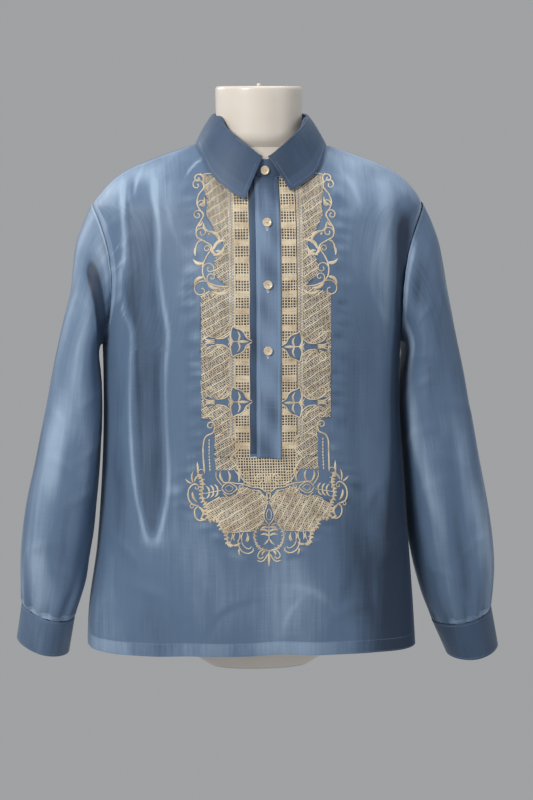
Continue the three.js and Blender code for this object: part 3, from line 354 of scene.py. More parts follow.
def line_x(is_front, x0, z):
    """Where a panel's upright line lies at each height."""
    if abs(x0) <= NECK_HALF:
        return np.full(np.shape(z), float(x0))
    side = math.copysign(1, x0)

    def angle_of(x, height):
        return np.arctan2(np.abs(x), plain_depth(is_front, x, height))

    neck = angle_of(side * NECK_HALF, z)
    neck_tip = angle_of(side * NECK_HALF, SHOULDER_TIP)
    tip = math.atan2(body_side(side, SHOULDER_TIP), SEAM_GAP / 2)
    share = np.clip((angle_of(x0, SHOULDER_TIP) - neck_tip) / (tip - neck_tip), 0, 1)
    edge, depth = edge_depth(z), body_depth(is_front, z)
    edge_x = body_side(side, z) * (1 - (edge / depth) ** SQUARENESS) ** (1 / SQUARENESS)
    angle = neck + share * (np.arctan2(edge_x, edge) - neck)
    reach = (np.abs(np.sin(angle) / body_side(side, z)) ** SQUARENESS
             + np.abs(np.cos(angle) / depth) ** SQUARENESS) ** (-1 / SQUARENESS)
    return np.where(z >= SHOULDER_TIP, x0, side * reach * np.sin(angle))


def hem_height(is_front, x0):
    centre = FRONT_HEM if is_front else BACK_HEM
    across = abs(x0) / body_side(x0, SHOULDER_TIP)
    ripple = 1.6 * math.sin(x0 / 21 + (0.6 if is_front else 2)) * (1 - across)
    return lerp(centre, SIDE_HEM[-1 if x0 < 0 else 1], across * across) + ripple


def seam_forward(x0):
    share = np.clip((abs(x0) - NECK_HALF) / (body_side(x0, SHOULDER_TIP) - NECK_HALF), 0, 1)
    return SEAM_FORWARD * math.sin(math.pi * share) ** 0.6


def spread(line, count, closing=1.0):
    """Evenly spaced points along a line, or closer together towards its end."""
    along = gone_along(line)
    at = along[-1] * (1 - (1 - np.linspace(0, 1, count)) ** closing)
    return np.stack([np.interp(at, along, line[:, k]) for k in range(3)], -1)


def panel_line(is_front, x0, low_rows, upper_count):
    """One upright line of a panel, from the hem to the shoulder seam or the neckline."""
    tip = float(body_side(x0, SHOULDER_TIP))
    heights = np.linspace(SHOULDER_TIP, SHIRT_TOP, 1200)
    sides = body_side(np.full(1200, x0), heights)
    ridge = SHOULDER_TIP if abs(x0) >= tip - 0.01 else float(np.interp(-abs(x0), -sides, heights))

    def at(z):
        p = body_point(is_front, line_x(is_front, x0, z), z)
        way = -1 if is_front else 1
        p[:, 1] = way * np.maximum(way * p[:, 1], SEAM_GAP / 2)
        return p

    lower = at(np.concatenate([np.linspace(hem_height(is_front, x0), low_rows[0], 16)[:-1], low_rows]))
    upper = at(ridge - (ridge - BAND_SPLIT) * (1 - np.linspace(0, 1, 700)) ** 2.2)
    depth = np.where(upper[:, 1] < 0, NECK_FRONT, NECK_BACK)
    stop = (upper[:, 0] / NECK_HALF) ** 2 + (upper[:, 1] / depth) ** 2 < 1
    seam = seam_forward(x0)
    if is_front:
        stop |= (upper[:, 2] > SHOULDER_TIP) & (-upper[:, 1] < seam + SEAM_GAP / 2)
    if stop.any():
        upper = upper[:max(int(np.argmax(stop)), 2)]
    if not is_front and NECK_HALF < abs(x0) < tip - 0.01:
        y = -(seam - SEAM_GAP / 2) * np.arange(1, 13) / 12
        x = np.full(12, float(x0))
        upper = np.concatenate([upper, np.stack([x, y, height_at(x, y)], -1)])
    closing = 1 + 0.45 * (1 - float(smooth(abs(x0), 90, tip)))
    return np.concatenate([lower[:-1], spread(upper, upper_count, closing)])


def facing(points, wrapped=False):
    """The way a (rows, columns, 3) grid of points faces: across turned to up."""
    if wrapped:
        across = np.roll(points, -1, 1) - np.roll(points, 1, 1)
    else:
        across = np.gradient(points, axis=1)
    normal = np.cross(across, np.gradient(points, axis=0))
    return normal / np.maximum(np.linalg.norm(normal, axis=-1, keepdims=True), 1e-9)


near_centre = panel_line(True, 30, np.linspace(60, BAND_SPLIT, 9), 20)
print("a panel's line near the front's centre has", len(near_centre), "points")

# %% [markdown]
# ## Making cloth in Blender
# A grid primitive is the natural start for cloth, because its rows and columns are the warp and the weft.
# Its vertices are moved to the pattern's places, and Solidify gives it a thickness towards the inside. A
# subdivided plane pushed about by hand would reach the same shape, but not the same seams.

# %% Helpers for any piece


def select_only(piece):
    bpy.ops.object.select_all(action="DESELECT")
    piece.select_set(True)
    bpy.context.view_layer.objects.active = piece


def coordinates(piece):
    flat = np.empty(len(piece.data.vertices) * 3, np.float32)
    piece.data.vertices.foreach_get("co", flat)
    return flat.reshape(-1, 3).astype(float)


def put(piece, points):
    """Moves the piece's vertices to places given in the shirt's millimetres."""
    world = (points + [0, 0, HEM_LIFT]) * MM
    piece.data.vertices.foreach_set("co", world.astype(np.float32).ravel())
    piece.data.update()


def modify(piece, kind, **settings):
    """Adds a modifier and applies it."""
    select_only(piece)
    modifier = piece.modifiers.new(kind.title(), kind)
    for name, value in settings.items():
        setattr(modifier, name, value)
    bpy.ops.object.modifier_apply(modifier=modifier.name)


def pick_faces(piece, choose):
    """Selects the faces that a function chooses, and stays in edit mode for the next operator."""
    select_only(piece)
    bpy.ops.object.mode_set(mode="EDIT")
    bpy.ops.mesh.select_mode(type="FACE")
    bpy.ops.mesh.select_all(action="DESELECT")
    bpy.ops.object.mode_set(mode="OBJECT")
    for face in choose(piece.data.polygons):
        face.select = True
    bpy.ops.object.mode_set(mode="EDIT")


def smooth_shading(piece, degrees=50):
    select_only(piece)
    bpy.ops.object.shade_smooth_by_angle(angle=math.radians(degrees))


def triangles(piece):
    piece.data.calc_loop_triangles()
    return len(piece.data.loop_triangles)


def hand_over(piece, *nodes, slot):
    """The piece takes the place of its solids, and rides on the part's one body."""
    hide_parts(*nodes)
    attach(piece, "root")


print("one unit of the pattern is", MM, "metres")

# %% A cut piece of cloth


class Cloth:
    """One cut piece: a grid of points on its outer face, with the way it faces and its flat size."""

    def __init__(self, name, inner, thickness, centre, wrapped=False):
        self.name, self.wrapped = name, wrapped
        self.normals = facing(inner, wrapped)
        self.flipped = (self.normals * (inner - centre)).sum() < 0
        if self.flipped:
            inner, self.normals = inner[:, ::-1], -self.normals[:, ::-1]
        self.points = inner + self.normals * thickness
        step_across = np.linalg.norm(np.diff(self.closed(self.points), axis=1), axis=-1)
        step_up = np.linalg.norm(np.diff(self.points, axis=0), axis=-1)
        self.width, self.length = step_across.sum(1).max(), step_up.sum(0).max()
        self.masks = {"band": np.full(self.points.shape[:2], -MM)}

    def closed(self, grid):
        """A wrapped piece repeats its first column at its end."""
        return np.concatenate([grid, grid[:, :1]], 1) if self.wrapped else grid

    def at(self, u, v, out=0.0):
        """Points at shares across and up the piece, at a height above it, and the way it faces there."""
        rows, columns = self.points.shape[:2]
        x, y = np.asarray(u) * (columns - 1), np.asarray(v) * (rows - 1)
        i, j = np.clip(y.astype(int), 0, rows - 2), np.clip(x.astype(int), 0, columns - 2)
        fx, fy = (x - j)[..., None], (y - i)[..., None]

        def blend(grid):
            return (grid[i, j] * (1 - fx) * (1 - fy) + grid[i, j + 1] * fx * (1 - fy)
                    + grid[i + 1, j] * (1 - fx) * fy + grid[i + 1, j + 1] * fx * fy)

        normal = blend(self.normals)
        return blend(self.points) + normal * out, normal

    def make(self, thickness, keep=None, round_edges=0.0):
        """Builds the piece: a grid primitive in the pattern's shape, with a wall and rounded edges."""
        points = self.closed(self.points)
        rows, columns = points.shape[:2]
        bpy.ops.object.select_all(action="DESELECT")
        bpy.ops.mesh.primitive_grid_add(x_subdivisions=columns - 1, y_subdivisions=rows - 1, size=1)
        piece = bpy.context.object
        piece.name = piece.data.name = self.name
        place = coordinates(piece)
        column = np.rint((place[:, 0] + 0.5) * (columns - 1)).astype(int)
        row = np.rint((place[:, 1] + 0.5) * (rows - 1)).astype(int)
        put(piece, points[row, column])
        for name, mask in self.masks.items():
            attribute = piece.data.attributes.new(name, "FLOAT", "POINT")
            attribute.data.foreach_set("value", self.closed(mask)[row, column].astype(np.float32))
        self.weave_uv(piece, column / (columns - 1), row / (rows - 1))
        if keep is not None:
            self.cut(piece, keep(row, column))
        if self.wrapped:
            select_only(piece)
            bpy.ops.object.mode_set(mode="EDIT")
            bpy.ops.mesh.select_all(action="SELECT")
            bpy.ops.mesh.remove_doubles(threshold=0.00002)
            bpy.ops.object.mode_set(mode="OBJECT")
        self.area = sum(face.area for face in piece.data.polygons)
        modify(piece, "SOLIDIFY", thickness=thickness * MM, offset=-1, use_even_offset=True)
        if round_edges:
            modify(piece, "BEVEL", width=round_edges * MM, segments=2, limit_method="ANGLE", angle_limit=1.0)
        smooth_shading(piece)
        self.piece = piece
        print(f"{self.name}: {self.width:.0f} x {self.length:.0f} mm, {triangles(piece)} triangles")
        return piece

    def dress(self, solid, finish, wall, **more):
        """Makes the piece in its finish, in the place of its solid."""
        self.make(wall, **more).data.materials.append(finish)
        hand_over(self.piece, solid, slot="sheer_cloth")

    def weave_uv(self, piece, across, up):
        """The UV map is the flat cut in metres, so that the weave keeps its real pitch."""
        loops = np.empty(len(piece.data.loops), int)
        piece.data.loops.foreach_get("vertex_index", loops)
        uv = np.stack([across[loops] * self.width, up[loops] * self.length], -1) * MM
        piece.data.uv_layers.active.data.foreach_set("uv", uv.astype(np.float32).ravel())

    def cut(self, piece, kept):
        """Deletes the faces whose corners aren't all kept."""
        pick_faces(piece, lambda faces: [f for f in faces if not all(kept[v] for v in f.vertices)])
        bpy.ops.mesh.delete(type="FACE")
        bpy.ops.object.mode_set(mode="OBJECT")


print("a piece of cloth can be cut")

# %% [markdown]
# ## Finishes
# A finish is a small recipe of shader nodes. The class below lets the recipe be written as sums: `1 - mask`
# or `threads * 0.3` adds the Math node for it. Patterns read the piece's own UV map, which is its flat cut
# in metres, so a thread is as wide on a sleeve as on a cuff.

# %% Writing shader maths as sums


class Value:
    """A number that changes over the surface: one socket of a node."""

    def __init__(self, finish, socket):
        self.finish, self.socket = finish, socket

    def maths(self, operation, *others):
        return self.finish.node("ShaderNodeMath", {"operation": operation}, dict(enumerate([self, *others])))

    def __add__(self, other):
        return self.maths("ADD", other)

    def __sub__(self, other):
        return self.maths("SUBTRACT", other)

    def __rsub__(self, other):
        return self.finish.node("ShaderNodeMath", {"operation": "SUBTRACT"}, {0: other, 1: self})

    def __mul__(self, other):
        return self.maths("MULTIPLY", other)

    def ramp(self, low, high):
        """0 below low and 1 above high, with a smooth rise between."""
        return self.finish.node("ShaderNodeMapRange", {"interpolation_type": "SMOOTHSTEP"},
                                {"Value": self, "From Min": low, "From Max": high})

    __radd__, __rmul__ = __add__, __mul__


class Finish:
    """One material, with its shader's fixed values set on the shader's own sockets."""

    def __init__(self, name, fixed):
        self.material = bpy.data.materials.new(name)
        self.material.use_nodes = True
        self.tree = self.material.node_tree
        self.shader = self.tree.nodes["Principled BSDF"]
        for socket, value in fixed.items():
            self.shader.inputs[socket].default_value = value

    def node(self, kind, settings, values, output=0):
        """Adds a node: first its settings, then the values or links of its sockets."""
        made = self.tree.nodes.new(kind)
        for name, value in settings.items():
            setattr(made, name, value)
        for key, value in values.items():
            if isinstance(value, Value):
                self.tree.links.new(value.socket, made.inputs[key])
            else:
                made.inputs[key].default_value = value
        return Value(self, made.outputs[output])

    def set(self, socket, value):
        self.tree.links.new(value.socket, self.shader.inputs[socket])

    def mix(self, share, first, second):
        """A colour between two colours."""
        return self.node("ShaderNodeMix", {"data_type": "RGBA"}, {0: share, 6: first, 7: second}, output=2)

    def noise(self, place, scale, detail=2.0, roughness=0.5):
        return self.node("ShaderNodeTexNoise", {}, {"Vector": place, "Scale": scale, "Detail": detail,
                                                    "Roughness": roughness})

    def stretched(self, place, scale):
        return self.node("ShaderNodeMapping", {}, {"Vector": place, "Scale": scale})

    def flat_cut(self):
        """The piece's own UV map, whole and as its two directions."""
        uv = self.node("ShaderNodeUVMap", {"uv_map": "UVMap"}, {})
        return uv, *(self.node("ShaderNodeSeparateXYZ", {}, {0: uv}, output=k) for k in (0, 1))

    def object_place(self):
        return self.node("ShaderNodeTexCoord", {}, {}, output=3)

    def attribute(self, name):
        return self.node("ShaderNodeAttribute", {"attribute_name": name}, {}, output=2)

    def bumps(self, *layers):
        """Chains Bump nodes: (height, strength, distance in metres) each."""
        normal = None
        for height, strength, distance in layers:
            values = {"Height": height, "Strength": strength, "Distance": distance}
            if normal:
                values["Normal"] = normal
            normal = self.node("ShaderNodeBump", {}, values)
        self.set("Normal", normal)


def linear(red, green, blue):
    """A colour as seen, in 0 to 255, turned into the shader's linear colour."""
    def one(c):
        c /= 255
        return c / 12.92 if c <= 0.04045 else ((c + 0.055) / 1.055) ** 2.4
    return (one(red), one(green), one(blue), 1)


print("a grey of 128 is", round(linear(128, 128, 128)[0], 3), "in linear light")

# %% [markdown]
# ## Organza
# Organza is woven from crisp, fine yarn. Up close it shows two sets of threads with small slubs, where the
# yarn is thicker. From a step away it has a watery sheen, because one layer lies over another, and doubled
# hems look paler and denser. The base colour carries the watery patches and each piece's painted highlights
# and painted shade, and sheen and roughness carry the gloss.

# %% The cloth's finish
THREAD_PITCH = 0.00045
SLUB_LENGTH, SLUB_WIDTH = 0.05, 0.0011


def organza(name, deep, middle, pale, gloss, watery=1.0):
    finish = Finish(name, {"Roughness": gloss, "Sheen Weight": 0.35, "Sheen Roughness": 0.35,
                           "Sheen Tint": linear(190, 210, 235), "Specular IOR Level": 0.42})
    uv, across, up = finish.flat_cut()
    place = finish.object_place()
    warp = (across * (2 * math.pi / THREAD_PITCH)).maths("SINE")
    weft = (up * (2 * math.pi / THREAD_PITCH)).maths("SINE")
    slubs_up = finish.noise(finish.stretched(uv, (1 / SLUB_WIDTH, 1 / SLUB_LENGTH, 1)), 1, 1)
    slubs_across = finish.noise(finish.stretched(uv, (1 / SLUB_LENGTH, 1 / SLUB_WIDTH, 1)), 1, 1)
    patches = finish.noise(finish.stretched(place, (9, 9, 3.2)), 1, 3, 0.55)
    streaks = finish.noise(finish.stretched(uv, (130, 4, 1)), 1, 3, 0.6)
    doubled = finish.attribute("band").ramp(-0.0003, 0.0003)
    drawn, painted_light_and_shade = finish.attribute("drawn"), finish.attribute("painted_light_and_shade")
    # The tone mixes the watery patches and streaks, which fall at random, with each piece's painted
    # highlights and painted shade.
    tone = (patches - 0.5) * (1.3 * watery) + (streaks - 0.5) * (0.24 * watery) + painted_light_and_shade
    yarn = (slubs_up - 0.5) * 0.2 + (slubs_across - 0.5) * 0.12
    light = (tone + yarn + doubled * 0.24 + 0.5).ramp(0.5, 1.15)
    dark = (0.5 - tone - yarn).ramp(0.5, 1.15)
    colour = finish.mix(dark, finish.mix(light, middle, pale), deep)
    # Painted shade: the cloth under the net and the drawn squares is painted dark, as the shade seen through
    # the open work.
    finish.set("Base Color", finish.mix(drawn, colour, linear(52, 50, 54)))
    finish.set("Roughness", 0.02 + gloss + yarn * 0.3 - painted_light_and_shade * 0.06)
    finish.bumps((doubled, 0.6, 0.0003), (slubs_up + slubs_across, 0.4, 0.00018),
                 (warp * 0.5 + weft * 0.5, 0.3, 0.00006))
    return finish.material


cloth = organza("organza", linear(40, 58, 82), linear(95, 119, 149), linear(158, 181, 208), 0.46)
stiffened = organza("organza_interfaced", linear(44, 61, 85), linear(73, 94, 122), linear(128, 151, 181),
                    0.46, 0.7)
print("two finishes for cloth")

# %% [markdown]
# ## The front and the back
# The front is one piece, slit from the neck down for the placket, and the back is one piece that comes over
# the shoulders to the seam. They meet at the side seams and part at the open vents. Both grids are dense
# enough for the smallest pucker. The hem, the vents and the seams are folded twice, and those doubled bands
# get their own distance value, so that the finish can draw their edge sharply.

# %% Lines and lights of the front
RIGHT_TIP, LEFT_TIP = -float(body_side(-1, SHOULDER_TIP)), float(body_side(1, SHOULDER_TIP))
# Short creases of painted light: painted highlights where the value is above 0, painted shade where it is
# below.
SHINING_CREASES = table(CREASE_NAMES, [
    (-92, 728, 26, 35, 1.6, 0.5), (-104, 716, 22, 52, 1.8, 0.4), (-80, 738, 18, 20, 1.5, 0.4),
    (-178, 700, 40, 72, 2, 0.4), (-188, 672, 44, 98, 2, 0.3), (-132, 640, 90, 108, 5, 0.16),
    (-118, 560, 70, 80, 6, 0.14), (128, 690, 60, -66, 4, 0.2), (150, 560, 110, 96, 7, 0.16),
    (-60, 96, 90, 34, 5, -0.16), (70, 120, 80, -30, 6, 0.14), (-120, 250, 90, 76, 6, -0.14),
    (30, 90, 60, 62, 4, 0.16), (-206, 585, 34, 40, 2.4, 0.35), (-205, 610, 30, 36, 2.2, 0.3),
])
POOL_LEFT = ([190, 269, 369, 443, 492, 517, 555, 606, 656, 705],
             [-167, -183, -189, -188, -187, -196, -201, -195, -197, -195])
POOL_RIGHT = ([190, 269, 369, 443, 492, 531, 581, 631, 681],
              [-157, -142, -144, -144, -141, -147, -152, -152, -156])


def neck_lines(inner, count):
    """Upright lines from the placket out to the neck's side, closer together where the neckline turns up."""
    turn = np.linspace(math.asin(abs(inner) / NECK_HALF), math.pi / 2, count)
    return math.copysign(1, inner) * NECK_HALF * np.sin(turn)


def distances(points):
    """How far each point lies from the first and last row and column, along the cloth."""
    up = np.linalg.norm(np.diff(points, axis=0), axis=-1)
    across = np.linalg.norm(np.diff(points, axis=1), axis=-1)
    up = np.concatenate([np.zeros((1, up.shape[1])), up.cumsum(0)])
    across = np.concatenate([np.zeros((across.shape[0], 1)), across.cumsum(1)], 1)
    return up, up[-1] - up, np.minimum(across, across[:, -1:] - across)


def watery(x, z):
    """Where the front gets painted light: painted highlights on its ridges, shoulders, creases and lit
    places, and painted shade over a hollow, beside the armhole and in the lower corner.
    """
    left = curve(*POOL_LEFT, z)
    right = curve(*POOL_RIGHT, z)
    fade = smooth(z, 185, 215) * (1 - smooth(z, 690, 715))
    pool = smooth(x, left, left + 7) * (1 - smooth(x, right - 7, right))
    ridges = bump(x, left - 2, 3) + bump(x, right + 3, 3.2)
    bottom = bump(z, 196, 10) * bump(x, -161, 14)
    below = 1 - smooth(z, 120, 330)
    corner = smooth(x + 0.25 * (z - 100), 60, 170) * below
    valley = bump(x, 189 + 0.016 * z, 13) * smooth(z, 40, 120) * (1 - smooth(z, 615, 695))
    highlight = bump(x, 174, 14) * smooth(z, 400, 520) * (1 - smooth(z, 690, 715))
    shade = smooth(x, 88, 126) * bump(z, 380, 130)
    glow = bump(x, -110, 46) * bump(z, 470, 190) + 1.8 * bump(x, 138, 30) * bump(z, 620, 90)
    glow += 1.7 * bump(x, -20, 100) * bump(z, 100, 80)
    edge = bump(x, -206, 13) * bump(z, 330, 150)
    return (fade * (0.38 * ridges - 0.36 * pool) + 0.3 * bottom - 0.75 * corner - 0.95 * valley
            + 0.3 * highlight - 0.1 * shade + 0.14 * glow - 0.3 * edge
            + 0.3 * smooth(z, 640, 700) * smooth(np.abs(x), 95, 130) + 0.28 * puckers(x, z)
            + creases(SHINING_CREASES, x, z, 0.006))


print("the front's tips lie at", RIGHT_TIP, "and", LEFT_TIP, "mm")

# %% The front
BODY_MIDDLE = np.array([0, 0, 400])
FIRST_ROW = 60
x0s = np.concatenate([
    np.linspace(RIGHT_TIP, -NECK_HALF, 58), -neck_lines(-SLOT_LEFT, 22)[::-1][1:],
    np.linspace(SLOT_LEFT, SLOT_RIGHT, 16)[1:], neck_lines(SLOT_RIGHT, 24)[1:],
    np.linspace(NECK_HALF, LEFT_TIP, 58)[1:],
])
low_rows = np.concatenate([np.linspace(FIRST_ROW, SLOT_BOTTOM, 64),
                           np.linspace(SLOT_BOTTOM, BAND_SPLIT, 28)[1:]])
front_grid = np.stack([panel_line(True, float(x0), low_rows, 80) for x0 in x0s], 1)
front = Cloth("organza_front", front_grid, SHIRT_CLOTH, BODY_MIDDLE)
slot_columns = sorted(int(np.argmin(np.abs(x0s - x))) for x in (SLOT_LEFT, SLOT_RIGHT))
slot_row = int(np.argmin(np.abs(front_grid[:, len(x0s) // 2, 2] - SLOT_BOTTOM)))


def band_widths(points, vent):
    from_hem, from_top, from_side = distances(points)
    side = np.where(points[..., 2] < VENT_TOP, vent, 11)
    return np.maximum(np.maximum(HEM_BAND - from_hem, side - from_side), 10 - from_top) * MM


front.masks["band"] = band_widths(front.points, FACING)
front.masks["painted_light_and_shade"] = watery(front.points[..., 0], front.points[..., 2])


def outside_slot(row, column):
    column = len(x0s) - 1 - column if front.flipped else column
    inside = (column > slot_columns[0]) & (column < slot_columns[1]) & (row > slot_row)
    return ~inside


front.dress("front_panel", cloth, SHEER_WALL, keep=outside_slot)

# %% The back
x0s_back = np.concatenate([np.linspace(RIGHT_TIP, -NECK_HALF, 44), neck_lines(-0.01, 20)[::-1][1:],
                           neck_lines(0.01, 20)[1:], np.linspace(NECK_HALF, LEFT_TIP, 44)[1:]])
low_rows = np.linspace(FIRST_ROW, BAND_SPLIT, 62)
back_grid = np.stack([panel_line(False, float(x0), low_rows, 78) for x0 in x0s_back], 1)
back = Cloth("organza_back", back_grid, SHIRT_CLOTH, BODY_MIDDLE)
back.masks["band"] = band_widths(back.points, FACING)
x = back.points[..., 0]
# Painted light and shade: a painted highlight near each side of the back and painted shade down its middle.
back.masks["painted_light_and_shade"] = 0.16 * bump(np.abs(x), 176, 12) - 0.12 * bump(x, 0, 40)
back.dress("back_panel", cloth, SHEER_WALL)

# %% [markdown]
# ## Sleeves
# A sleeve is cut flat, closed by one seam under the arm, set into the armhole and gathered into the cuff.
# An empty sleeve of stiff cloth hangs as a flattened tube with long ridges, small wrinkles at the elbow and
# short pleats above the cuff. Its sections follow the table, and the folds are added along each section's
# angle.

# %% Sleeves
SLEEVE_FOLDS = table("angle width depth start end", [
    (52, 15, 4, 0.12, 0.98), (80, 13, -5, 0.2, 0.9), (112, 14, 4, 0.25, 0.97),
    (236, 16, -4, 0.2, 0.9), (275, 16, 4, 0.25, 0.97),
])
FINE_FOLDS = table("angle drift width depth start end", [
    (24, 14, 7, 1.7, 0.1, 0.6), (66, -16, 6, 1.4, 0.35, 0.95), (96, 18, 7, -1.8, 0.05, 0.5),
    (128, -20, 8, 1.6, 0.4, 0.96), (145, 12, 7, 1.3, 0.06, 0.5), (38, 26, 6, -1.3, 0.45, 0.98),
    (210, 15, 8, 1.6, 0.2, 0.9), (300, -18, 8, 1.6, 0.15, 0.8), (330, 12, 8, -1.4, 0.3, 0.95),
])
ELBOW = table("share angle width depth lean", [
    (0.42, 120, 26, 1.5, 0.9), (0.47, 60, 22, 1.2, -0.7), (0.52, 130, 26, 1.7, 0.8),
    (0.57, 84, 22, 1.2, -0.6), (0.62, 118, 26, 1.3, 0.7), (0.12, 70, 28, 1.3, 1.2),
    (0.17, 105, 26, 1.5, -1.1), (0.23, 60, 24, 1.1, 1.1), (0.3, 120, 24, 1.1, -0.9),
    (0.74, 66, 22, 1.1, 0.8), (0.8, 110, 22, 1.1, -0.8),
])
SLEEVE_COLUMNS = 112


def section(row, side, angle, squareness, swell=0):
    """One section of a sleeve or cuff: angle 0 is its outer point and 90 degrees its front."""
    inner = np.stack([side * row["inX"], row["y"], row["inZ"]], -1)
    outer = np.stack([side * row["outX"], row["y"], row["outZ"]], -1)
    middle, along = (inner + outer) / 2, (outer - inner) / 2
    half = np.linalg.norm(along, axis=-1)
    along = along / half[..., None]
    c, s = np.cos(angle), np.sin(angle)
    power = squareness
    reach = (np.abs(c / half) ** power + np.abs(s / row["depth"]) ** power) ** (-1 / power) + swell
    down = np.stack([0 * reach, -reach * s, -row["dip"] * reach * s], -1)
    return middle + along * (reach * c)[..., None] + down


def armhole(side, angle):
    middle, high = (SHOULDER_TIP + ARMPIT) / 2, (SHOULDER_TIP - ARMPIT) / 2
    z, y = middle + high * np.cos(angle), -ARMHOLE_DEPTH * np.sin(angle)
    depth, half = depth_towards(y, z), body_side(side, z)
    x = side * half * (1 - (np.abs(y) / depth) ** SQUARENESS) ** (1 / SQUARENESS)
    rise = np.clip((z - 600) / (SHOULDER_TIP - 600), 0, None)
    out = unit(np.stack([x / half**2, y / depth**2, 0 * x], -1))
    out[..., 2] = 0.5 * rise
    out = unit(out)
    return np.stack([x, y, z], -1) + out * (SHIRT_CLOTH + SEAM_GAP + 0.35 + 0.8 * rise)[..., None]


def sleeve_swell(share, angle, side):
    degrees = np.degrees(angle)
    total = 0 * degrees
    for row in rows_of(SLEEVE_FOLDS):
        strength = np.sin(np.pi * np.clip((share - row["start"]) / (row["end"] - row["start"]), 0, 1)) ** 0.8
        total = total + row["depth"] * strength * bump(degrees, row["angle"], row["width"])
    for i, row in enumerate(rows_of(FINE_FOLDS)):
        down = np.clip((share - row["start"]) / (row["end"] - row["start"]), 0, 1)
        middle = row["angle"] + row["drift"] * (down - 0.5) * side + 5 * np.sin(7 * down + i)
        total = total + row["depth"] * np.sin(np.pi * down) * bump(degrees, middle, row["width"])
    for row in rows_of(ELBOW):
        off = (degrees - row["angle"]) / row["width"]
        line = row["share"] + side * row["lean"] * 0.03 * off + 0.01 * off**2
        total = total + row["depth"] * bump(share, line, 0.011) * bump(off, 0, 1)
    across = (degrees - 35) / 90
    near = smooth(share, 0.8, 0.96) * (1 - smooth(share, 0.97, 1))
    pleats = 3.2 * near * np.sin(6 * np.pi * across) * ((across > 0) & (across < 1))
    gathers = 0.9 * smooth(share, 0.86, 0.965) * (1 - smooth(share, 0.985, 1))
    gathers = gathers * np.sin(np.radians(degrees) * 31)
    set_in = 0.5 * smooth(share, 0.0, 0.02) * (1 - smooth(share, 0.03, 0.12))
    return total + pleats + gathers + set_in * np.sin(np.radians(degrees) * 26)


print(len(rows_of(FINE_FOLDS)), "fine folds and", len(rows_of(ELBOW)), "wrinkles for each sleeve")

# %% The sleeve's grid and its sheen


def sleeve_angles(flipped=False):
    """The angle of each column, from the seam under the arm all the way round."""
    round_once = np.linspace(0, 2 * math.pi, SLEEVE_COLUMNS, endpoint=False)
    angle = np.mod(math.pi + round_once, 2 * math.pi)
    return angle[::-1] if flipped else angle


def sleeve_grid(side, rows=150):
    angle = sleeve_angles()
    ends = armhole(side, np.array([0, math.pi]))
    first = {"inX": abs(ends[1, 0]), "inZ": ends[1, 2], "outX": abs(ends[0, 0]), "outZ": ends[0, 2],
             "depth": ARMHOLE_DEPTH, "y": 0, "dip": 0}
    full = {name: np.concatenate([[first[name]], SLEEVES[side][name]]) for name in first}
    steps = np.hypot(np.diff((full["inX"] + full["outX"]) / 2), np.diff((full["inZ"] + full["outZ"]) / 2))
    length = np.concatenate([[0], steps.cumsum()])
    sections = np.arange(len(length))
    at = np.interp(np.linspace(0, length[-1], rows), length, sections)
    row = {name: curve(sections, column, at)[:, None] for name, column in full.items()}
    share, turn = (at / sections[-1])[:, None], angle[None]
    squareness = lerp(lerp(2, 2.3, np.minimum(1, share * 3)), CUFF_SQUARENESS, smooth(share, 0.78, 1))
    kept = np.interp(at, np.arange(7), [1, *ARMHOLE_FADE, 0])[:, None, None]
    hole = armhole(side, angle)
    flat = section({name: np.full((1,), float(value)) for name, value in first.items()}, side, angle, 2)
    swell = sleeve_swell(share, turn, side)
    return section(row, side, turn, squareness, swell)[::-1] + (kept * (hole - flat))[::-1]


SHEEN = {
    -1: table("across up wide tall value", [
        (0.22, 0.74, 0.12, 0.1, -1), (0.1, 0.55, 0.08, 0.14, -0.8),
        (0.58, 0.68, 0.08, 0.1, 0.3), (0.62, 0.45, 0.12, 0.16, 0.5),
        (0.68, 0.13, 0.14, 0.12, 0.4), (0.86, 0.75, 0.08, 0.2, 0.35), (0.9, 0.4, 0.05, 0.25, -0.5),
        (0.1, 0.4, 0.12, 0.3, -0.4), (0.4, 0.62, 0.1, 0.12, -0.3), (0.35, 0.2, 0.1, 0.14, -0.3),
    ]),
    1: table("across up wide tall value", [
        (0.15, 0.68, 0.06, 0.13, 0.65), (0.25, 0.5, 0.07, 0.1, 0.55), (0.33, 0.36, 0.06, 0.1, 0.35),
        (0.58, 0.78, 0.2, 0.14, -0.2), (0.06, 0.38, 0.1, 0.26, -0.5), (0.62, 0.4, 0.16, 0.16, 0.3),
        (0.8, 0.2, 0.08, 0.16, 0.35), (0.5, 0.12, 0.1, 0.14, -0.3), (0.9, 0.45, 0.07, 0.2, 0.2),
    ]),
}


def sleeve_sheen(side, up, down, angle):
    """Long streaks that wander a little, the front's broad lights and shades, and those by the armhole."""
    share = up / up.max()
    wander = 0.5 * np.sin(up / 95 + side) + 0.25 * np.sin(up / 41 + 2 * side)
    streak = np.sin(7 * angle + 2.2 * wander) + 0.8 * np.sin(11 * angle - 3 * wander + 1)
    total = 0.1 * streak * (0.6 + 0.4 * np.sin(up / 70 + 3 * angle)) + (0.06 if side < 0 else -0.06)
    across = (1 + np.cos(angle)) / 2
    in_front = smooth(np.sin(angle), -0.3, 0.25)
    for row in rows_of(SHEEN[side]):
        drift = row["across"] + 0.05 * np.sin(share * 9 + side)
        spot = bump(across, drift, row["wide"]) * bump(share, row["up"], row["tall"])
        total = total + row["value"] * in_front * spot
    if side < 0:
        by_armhole = 0.25 * bump(down, 12, 8) - 1.5 * bump(down, 33 + 26 * (across - 0.4), 12)
    else:
        by_armhole = 0.6 * bump(down, 7, 6) - 0.2 * bump(down, 30, 15)
    return total + by_armhole * in_front * smooth(across, 0.12, 0.3) * (1 - smooth(across, 0.66, 0.84))


print("a sleeve has", SLEEVE_COLUMNS, "columns")

